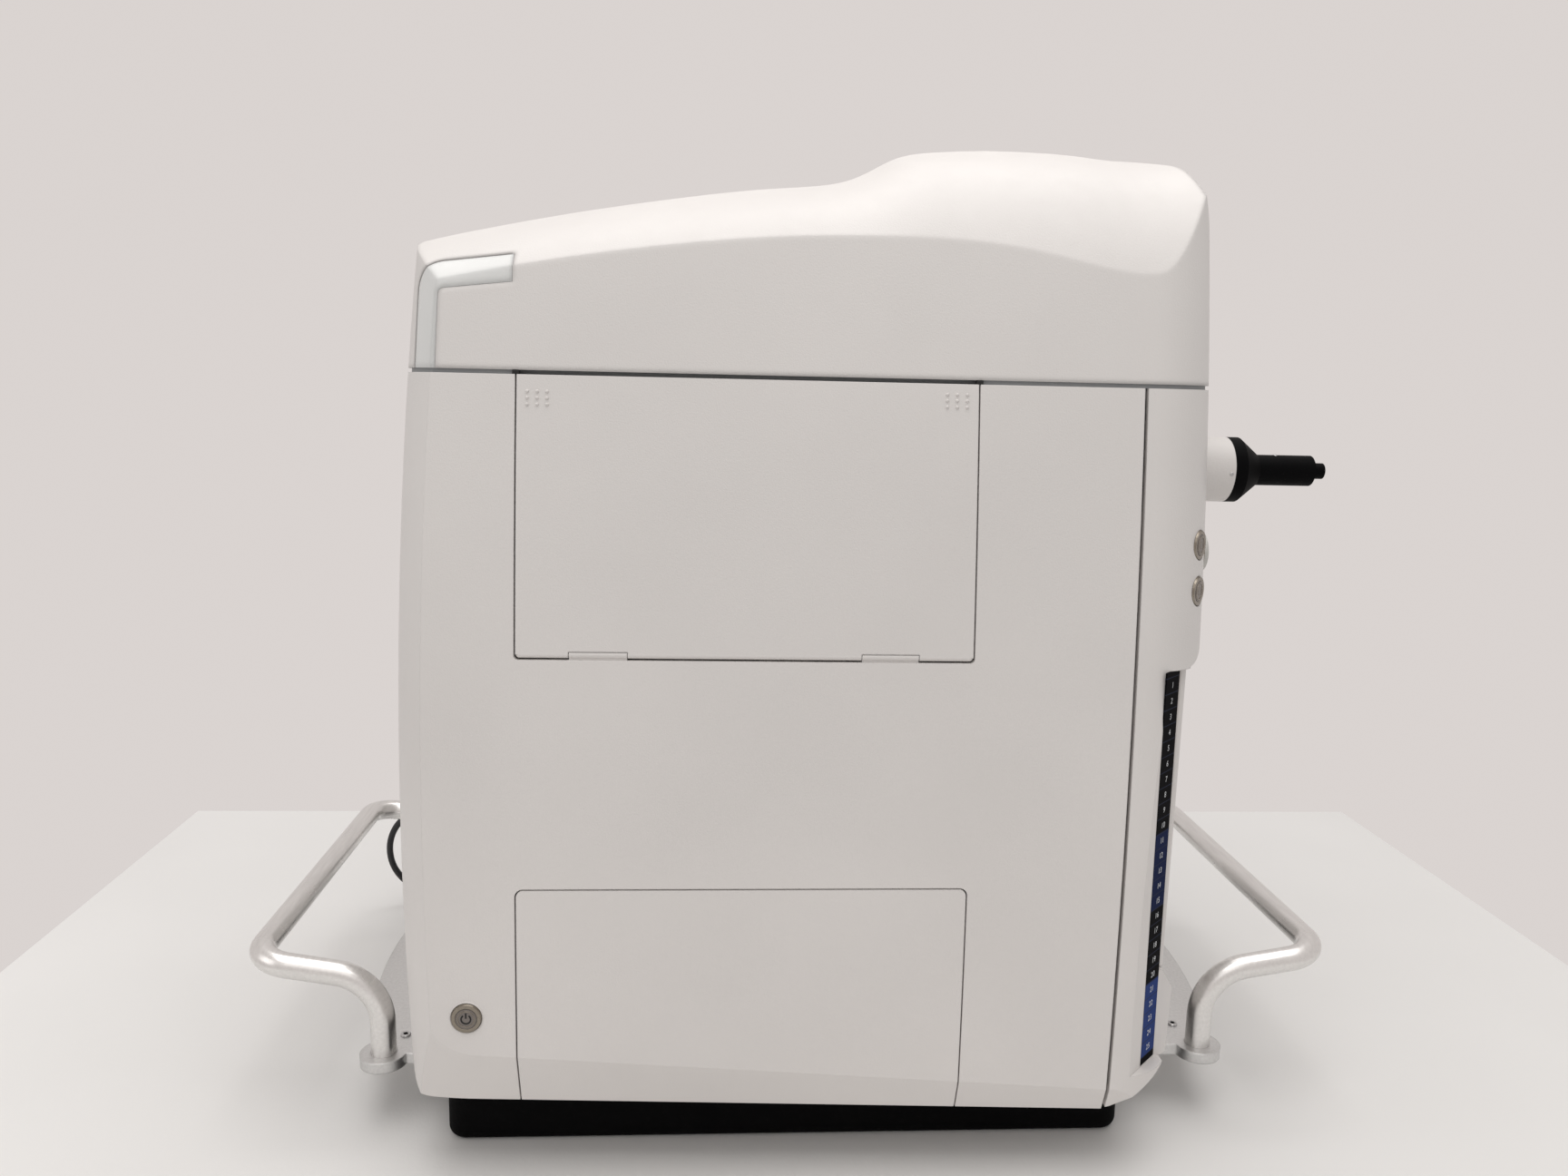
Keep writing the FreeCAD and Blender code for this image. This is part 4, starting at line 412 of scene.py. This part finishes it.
def finished(name, forms, slot, body, material=None, crisp=35.0):
    """The worked forms as one piece that rides on its body."""
    whole = bmesh.new()
    for bm in forms:
        bmesh.ops.recalc_face_normals(bm, faces=bm.faces)
        mesh = bpy.data.meshes.new(name)
        bm.to_mesh(mesh)
        bm.free()
        whole.from_mesh(mesh)
        bpy.data.meshes.remove(mesh)
    mesh = bpy.data.meshes.new(name)
    for face in whole.faces:
        face.smooth = True
    whole.to_mesh(mesh)
    whole.free()
    mesh.set_sharp_from_angle(angle=math.radians(crisp))
    piece = bpy.data.objects.new(name, mesh)
    scene.collection.objects.link(piece)
    mesh.materials.append(material or FINISH[slot])
    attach(piece, body)
    return piece


def facing(at, out):
    """Place of a form drawn along +Z, so that +Z points out and +Y up."""
    return Matrix.Translation(at) @ Vector(out).to_track_quat("Z", "Y").to_matrix().to_4x4()


def lathe(profile, at, out, steps):
    """Form turned from (radius, height) points about the line out from a place."""
    bm = bmesh.new()
    verts = [bm.verts.new((radius, 0.0, height)) for radius, height in profile]
    edges = [bm.edges.new(pair) for pair in zip(verts, verts[1:])]
    bmesh.ops.spin(bm, geom=verts + edges, cent=(0, 0, 0), axis=(0, 0, 1), dvec=(0, 0, 0),
                   angle=2 * math.pi, steps=steps, use_merge=True, use_normal_flip=False,
                   use_duplicate=False)
    bmesh.ops.remove_doubles(bm, verts=bm.verts, dist=1e-6)
    bmesh.ops.transform(bm, matrix=facing(at, out), verts=bm.verts)
    return bm


def ring(inner, outer, low, high, ease, at, out, steps=40):
    """Flat ring with eased upper edges, its heights counted out from a place."""
    section = [(inner, low), (outer, low), (outer, high - ease), (outer - ease, high),
               (inner + ease, high), (inner, high - ease), (inner, low)]
    return lathe(section, at, out, steps)


def block(low, high, ease=0.0):
    """Box between two corners with eased edges."""
    bm = bmesh.new()
    bmesh.ops.create_cube(bm, size=1.0)
    bmesh.ops.scale(bm, vec=[b - a for a, b in zip(low, high)], verts=bm.verts)
    bmesh.ops.translate(bm, vec=[(a + b) / 2 for a, b in zip(low, high)], verts=bm.verts)
    if ease > 0.0:
        bmesh.ops.bevel(bm, geom=bm.edges[:], offset=ease, offset_type="OFFSET", affect="EDGES",
                        segments=2, profile=0.5, material=-1)
    return bm


def edges_between(items, verts):
    return [item for item in items if isinstance(item, bmesh.types.BMEdge)
            and all(vert in verts for vert in item.verts)]


def socket_screw(at, out, radius=0.0040, head=0.0018, key=0.0020):
    """Low round head with a hexagon socket."""
    socket_deep = 0.7 * head
    dome = 0.35 * head
    side = 0.65 * head + 0.0002
    bm = bmesh.new()
    bmesh.ops.create_circle(bm, segments=6, radius=key)
    bmesh.ops.subdivide_edges(bm, edges=bm.edges[:], cuts=3)
    hexagon = bm.edges[:]
    bmesh.ops.translate(bm, vec=(0, 0, head), verts=bm.verts)
    wall = bmesh.ops.extrude_edge_only(bm, edges=hexagon)["geom"]
    deep = [item for item in wall if isinstance(item, bmesh.types.BMVert)]
    bmesh.ops.translate(bm, vec=(0, 0, -socket_deep), verts=deep)
    bmesh.ops.contextual_create(bm, geom=edges_between(wall, deep))
    crown = bmesh.ops.create_circle(bm, segments=24, radius=radius - dome)["verts"]
    bmesh.ops.translate(bm, vec=(0, 0, head), verts=crown)
    rim = list({edge for vert in crown for edge in vert.link_edges})
    bmesh.ops.bridge_loops(bm, edges=hexagon + rim)
    for wide, drop in ((radius / (radius - dome), dome), (1.0, side)):
        grown = bmesh.ops.extrude_edge_only(bm, edges=rim)["geom"]
        crown = [item for item in grown if isinstance(item, bmesh.types.BMVert)]
        rim = edges_between(grown, crown)
        bmesh.ops.scale(bm, vec=(wide, wide, 1.0), verts=crown)
        bmesh.ops.translate(bm, vec=(0, 0, -drop), verts=crown)
    bmesh.ops.contextual_create(bm, geom=rim)
    bmesh.ops.transform(bm, matrix=facing(at, out), verts=bm.verts)
    return bm


GRIP_FIELDS = ((-0.2070, -0.1932, 0.5800, 0.5890), (0.0893, 0.1036, 0.5842, 0.5930))
GRIP_BUMP_R = 0.00125
GRIP_PAINT = textured_paint("grip_paint", SHELL_WHITE, 0.4)


def flap_grip():
    """Two fields of nine small bumps in the flap's upper corners."""
    bumps = []
    for x0, x1, z0, z1 in GRIP_FIELDS:
        for i in range(3):
            for k in range(3):
                x = x0 + (x1 - x0) * i / 2
                z = z0 + (z1 - z0) * k / 2
                bm = bmesh.new()
                bmesh.ops.create_uvsphere(bm, u_segments=12, v_segments=8, radius=GRIP_BUMP_R)
                bmesh.ops.scale(bm, vec=(1.0, 0.85, 1.0), verts=bm.verts)
                bmesh.ops.translate(bm, vec=(x, front_y(z) - 0.0003, z), verts=bm.verts)
                bumps.append(bm)
    finished("flap_grip_bumps", bumps, "housing_paint", "flap", material=GRIP_PAINT)


STOP_X = (-0.2152, 0.1128)
STOP_WIDE = 0.0048


def flap_stops():
    """Small rubber stops in the seam above the flap's upper corners."""
    y = front_y(SEAM_Z + 0.0015) - 0.0004
    half = STOP_WIDE / 2
    stops = [block((x - half, y, SEAM_Z - 0.0004), (x + half, y + 0.004, SEAM_Z + 0.0031), 0.0005)
             for x in STOP_X]
    finished("flap_stops", stops, "rubber_foot", "housing")


STRIP_FRONT = (0.2555, -0.262)
STRIP_DRIFT = -0.0096
STRIP_TURN = math.radians(45)
STRIP_MIDDLE = 0.0132
NUMBER_OUT = 0.00034
NUMBER_HIGH = 0.0064


def place_numbers():
    """The numbers 1 to 25 in one mesh on the slanted strip."""
    along = Vector((math.cos(STRIP_TURN), math.sin(STRIP_TURN), 0.0))
    out = Vector((math.sin(STRIP_TURN), -math.cos(STRIP_TURN), 0.0))
    turn = Matrix((along, Vector((0, 0, 1)), out)).transposed().to_4x4()
    digits = []
    for place in range(1, PLACES + 1):
        text = bpy.data.curves.new("number", "FONT")
        text.body = str(place)
        text.size = NUMBER_HIGH
        text.align_x = "CENTER"
        text.align_y = "CENTER"
        text.extrude = 0.00003
        text.resolution_u = 3
        held = bpy.data.objects.new("number", text)
        scene.collection.objects.link(held)
        bpy.context.view_layer.update()
        mesh = bpy.data.meshes.new_from_object(held)
        z = PLACE_FIRST_Z - PLACE_PITCH * (place - 1)
        front = Vector((STRIP_FRONT[0] + STRIP_DRIFT * (z - STRIP_LOW_Z), STRIP_FRONT[1], z))
        mesh.transform(Matrix.Translation(front + along * STRIP_MIDDLE + out * NUMBER_OUT) @ turn)
        bm = bmesh.new()
        bm.from_mesh(mesh)
        digits.append(bm)
        bpy.data.objects.remove(held)
        bpy.data.meshes.remove(mesh)
        bpy.data.curves.remove(text)
    finished("place_numbers", digits, "button_pale", "housing", LABEL_INK)


POWER_AT = (-0.2508, 0.139)
BEZEL_HIGH = 0.0016
CAP_FRONT = 0.0019
RIGHT_ROLL_R = 0.055
CONTROL_TURN = math.radians(49)


FRONT_OUT = (0.0, -1.0, 0.0206)
STROKE = 0.0012
SYMBOL_R = 0.0034
SYMBOL_HIGH = 0.00012
SYMBOL_SWEEP = math.radians(290)


def power_place(out=0.0):
    """Middle of the power switch on the front, or so far out from it."""
    return Vector((POWER_AT[0], front_y(POWER_AT[1]) - out, POWER_AT[1]))


def power_symbol(place):
    """Open ring and a bar through its gap."""
    inner = SYMBOL_R - STROKE / 2
    outer = SYMBOL_R + STROKE / 2
    low = -0.0001
    arc = bmesh.new()
    section = [arc.verts.new((x, 0.0, z)) for x, z in ((inner, low), (outer, low),
                                                       (outer, SYMBOL_HIGH), (inner, SYMBOL_HIGH))]
    face = arc.faces.new(section)
    bmesh.ops.spin(arc, geom=[face], cent=(0, 0, 0), axis=(0, 0, 1), dvec=(0, 0, 0),
                   angle=SYMBOL_SWEEP, steps=40, use_merge=False, use_normal_flip=False,
                   use_duplicate=False)
    half_gap = (2 * math.pi - SYMBOL_SWEEP) / 2
    open_top = Matrix.Rotation(math.pi / 2 + half_gap, 4, "Z")
    bmesh.ops.transform(arc, matrix=place @ open_top, verts=arc.verts)
    bar = block((-STROKE / 2, 0.0006, low), (STROKE / 2, 0.0048, SYMBOL_HIGH))
    bmesh.ops.transform(bar, matrix=place, verts=bar.verts)
    return [arc, bar]


def power_switch_trim():
    """Painted lip round the switch, a ring on its cap, and the power symbol in the middle."""
    lip = ring(0.0113, 0.0124, -0.0006, 0.0005, 0.0004, power_place(), FRONT_OUT)
    finished("power_lip", [lip], "housing_paint", "housing")
    on_cap = power_place(CAP_FRONT)
    cap_ring = ring(0.0056, 0.0064, -0.0003, 0.0003, 0.0001, on_cap, (0, -1, 0))
    finished("power_cap_ring", [cap_ring], "bezel_metal", "power_button")
    symbol = power_symbol(facing(on_cap, (0, -1, 0)))
    finished("power_symbol", symbol, "scale_black", "power_button", SYMBOL_INK)


SIDE_FACE_X = 0.2985
SIDE_FACE_Z = 0.620
SIDE_ARC = 28.0
SPOT_DEEP = 0.0012
CONTROL_HEIGHTS = (("upper", 0.487), ("lower", 0.453))


def control_button_trim():
    """Two turned rings on each of the two caps on the round corner."""
    out = Vector((math.sin(CONTROL_TURN), -math.cos(CONTROL_TURN), 0.0))
    for which, z in CONTROL_HEIGHTS:
        right = SIDE_FACE_X - (z - SIDE_FACE_Z) ** 2 / SIDE_ARC
        centre = Vector((right - RIGHT_ROLL_R, front_y(z) + RIGHT_ROLL_R, z))
        at = centre + out * (RIGHT_ROLL_R - SPOT_DEEP + BEZEL_HIGH + 0.0002)
        rings = [ring(0.0056, 0.0066, -0.0003, 0.0004, 0.0002, at, out),
                 ring(0.0026, 0.0031, -0.0003, 0.0002, 0.0001, at, out, 28)]
        finished("control_rings_" + which, rings, "bezel_metal", "control_button_" + which)


BRACKET_TOP_Z = 0.055
BRACKET_BOLTS = ((-0.3277, 0.152), (0.3290, 0.147))
BASE_BOLT_X = (-0.302, 0.282)
BASE_BOLT_Y = (-0.125, 0.0, 0.125)
BASE_BOLT_Z = 0.039


def bracket_bolts():
    """Socket screws that hold the brackets, and those under them in the base."""
    bolts = [socket_screw((x, y, BRACKET_TOP_Z), (0, 0, 1), 0.0042, 0.0016, 0.0021)
             for x, near in BRACKET_BOLTS for y in (-near, near)]
    finished("bracket_bolts", bolts, "steel", "housing")
    side = [socket_screw((x, y, BASE_BOLT_Z), (math.copysign(1, x), 0, 0), 0.0048, 0.0028, 0.0024)
            for x in BASE_BOLT_X for y in BASE_BOLT_Y]
    finished("base_bolts", side, "steel", "housing")


ADAPTER_Y = -0.125
ADAPTER_Z = 0.537


def adapter_trim():
    """Set screws in the light guide adapter, and the seal round its foot."""
    lean = math.radians(5)
    out = Vector((0.0, -math.cos(lean), -math.sin(lean)))
    tube_screw = Vector((0.3385, ADAPTER_Y, ADAPTER_Z)) + out * 0.0263
    barrel_screw = (0.3845, ADAPTER_Y - 0.0020, ADAPTER_Z + 0.01225)
    screws = [socket_screw(tube_screw, out, 0.0016, 0.0007, 0.0007),
              socket_screw(barrel_screw, (0, -0.16, 1), 0.0019, 0.0006, 0.0008)]
    finished("adapter_set_screws", screws, "steel", "housing")
    foot = (0.29870, ADAPTER_Y, ADAPTER_Z)
    seal = ring(0.0264, 0.0285, -0.0012, 0.0012, 0.0007, foot, (1, 0, 0), 56)
    finished("adapter_seal", [seal], "rubber_foot", "housing")


FAN_AT = (-0.165, 0.190)
FAN_SCREW = 0.0525
PORT_SCREW_X = (0.076, 0.184)
PORT_SCREW_Z = (0.117, 0.163)
SOCKET_PITCH = 0.022
COVER_SCREW_X = (-0.236, 0.0, 0.236)
COVER_SCREW_Z = (0.084, 0.330, 0.582)
BEHIND = (0, 1, 0)


def data_socket(x0, x1, z0, z1, wall, deep):
    """Metal shell with an open mouth towards the back."""
    front = BACK_Y - 0.0008
    bm = block((x0, front - deep - 0.003, z0), (x1, front, z1))
    mouth = max(bm.faces, key=lambda face: face.calc_center_median().y)
    bmesh.ops.inset_individual(bm, faces=[mouth], thickness=wall)
    bmesh.ops.translate(bm, vec=(0, -deep, 0), verts=mouth.verts)
    return bm


def rear_details():
    """Sockets of the port panel, and the screws of the panel, the fan and the rear cover."""
    steps = [SOCKET_PITCH * k for k in range(3)]
    shells = [data_socket(0.0924 + dx, 0.1066 + dx, 0.1284, 0.1406, 0.0009, 0.010) for dx in steps]
    shells.append(data_socket(0.1604, 0.1756, 0.1274, 0.1426, 0.0011, 0.009))
    finished("port_shells", shells, "steel", "housing")
    tongues = [block((0.0945 + dx, 0.222, 0.1362), (0.1045 + dx, 0.2295, 0.1388), 0.0003) for dx in steps]
    tongues.append(block((0.1645, 0.224, 0.1325), (0.1715, 0.2295, 0.1375), 0.0003))
    finished("port_tongues", tongues, "inner_black", "housing")
    flush = BACK_Y - 0.0001
    screws = [socket_screw((x, BACK_Y - 0.0013, z), BEHIND, 0.0028, 0.0014, 0.0013)
              for x in PORT_SCREW_X for z in PORT_SCREW_Z]
    screws += [socket_screw((FAN_AT[0] + dx, flush, FAN_AT[1] + dz), BEHIND, 0.0036, 0.0018, 0.0016)
               for dx in (-FAN_SCREW, FAN_SCREW) for dz in (-FAN_SCREW, FAN_SCREW)]
    screws += [socket_screw((x, flush, z), BEHIND, 0.0042, 0.0018, 0.0020)
               for x in COVER_SCREW_X for z in COVER_SCREW_Z if x >= 0 or z > COVER_SCREW_Z[0]]
    finished("rear_screws", screws, "steel", "housing")
    cups = [ring(0.0045, 0.0062, -0.0006, 0.0005, 0.0003, (x, BACK_Y, z), BEHIND, 28)
            for x in COVER_SCREW_X for z in COVER_SCREW_Z[1:]]
    finished("rear_screw_cups", cups, "housing_paint", "housing")


flap_grip()
flap_stops()
place_numbers()
power_switch_trim()
control_button_trim()
bracket_bolts()
adapter_trim()
rear_details()


# ------------------------------------------------------------------ floor and light

TABLE_LOW = (-0.786, -1.15)
TABLE_HIGH = (0.850, 0.526)
TABLE_THICK = 0.03
TABLE_COLOUR = (0.84, 0.825, 0.81)


def lay_table():
    """Pale worktop with eased edges under the scanner."""
    bm = block((*TABLE_LOW, -TABLE_THICK), (*TABLE_HIGH, 0.0), 0.0015)
    mesh = bpy.data.meshes.new("table_top")
    bm.to_mesh(mesh)
    bm.free()
    table = bpy.data.objects.new("table_top", mesh)
    scene.collection.objects.link(table)
    material, principled = shader("table_top", TABLE_COLOUR, 0.5)
    link = material.node_tree.links.new
    space = object_space(material)
    link(spread(material, grain(material, space, 3.0), (0.825, 0.81, 0.795), (0.855, 0.84, 0.825)),
         principled.inputs["Base Color"])
    link(emboss(material, grain(material, space, 300.0), 0.0001), principled.inputs["Normal"])
    table.data.materials.append(material)


WALL_COLOUR = (0.70, 0.655, 0.635)
ROOM_COLOUR = (1.0, 0.98, 0.965)
LAMP_COLOUR = (1.0, 0.985, 0.97)
ROOM_LIGHT = 0.46
LAMPS = (("ceiling_panel", 2.6, 46.0, (0.0, -0.25, 2.7), (0.0, 0.0, 0.3)),
         ("window_softbox", 2.0, 10.0, (-2.8, -1.6, 1.6), (0.0, 0.0, 0.4)),
         ("front_softbox", 2.0, 8.0, (-0.3, -2.6, 2.6), (0.0, 0.0, 0.6)))


def light_room():
    """Even room light, with a plain wall seen behind the table."""
    world = bpy.data.worlds.new("room")
    scene.world = world
    world.use_nodes = True
    tree = world.node_tree
    tree.nodes.clear()
    out = tree.nodes.new("ShaderNodeOutputWorld")
    light = tree.nodes.new("ShaderNodeBackground")
    light.inputs["Color"].default_value = (*ROOM_COLOUR, 1.0)
    light.inputs["Strength"].default_value = ROOM_LIGHT
    wall = tree.nodes.new("ShaderNodeBackground")
    wall.inputs["Color"].default_value = (*WALL_COLOUR, 1.0)
    wall.inputs["Strength"].default_value = 1.0
    path = tree.nodes.new("ShaderNodeLightPath")
    seen = tree.nodes.new("ShaderNodeMath")
    seen.operation = "MAXIMUM"
    through = tree.nodes.new("ShaderNodeMath")
    through.operation = "MAXIMUM"
    mix = tree.nodes.new("ShaderNodeMixShader")
    join = tree.links.new
    join(path.outputs["Is Camera Ray"], seen.inputs[0])
    join(path.outputs["Is Glossy Ray"], seen.inputs[1])
    join(seen.outputs[0], through.inputs[0])
    join(path.outputs["Is Transmission Ray"], through.inputs[1])
    join(through.outputs[0], mix.inputs["Fac"])
    join(light.outputs[0], mix.inputs[1])
    join(wall.outputs[0], mix.inputs[2])
    join(mix.outputs[0], out.inputs["Surface"])
    for name, size, power, place, aim in LAMPS:
        panel = bpy.data.lights.new(name, "AREA")
        panel.size = size
        panel.energy = power
        panel.color = LAMP_COLOUR
        lamp = bpy.data.objects.new(name, panel)
        scene.collection.objects.link(lamp)
        away = Vector(place) - Vector(aim)
        lamp.matrix_world = facing(place, away)


lay_table()
light_room()
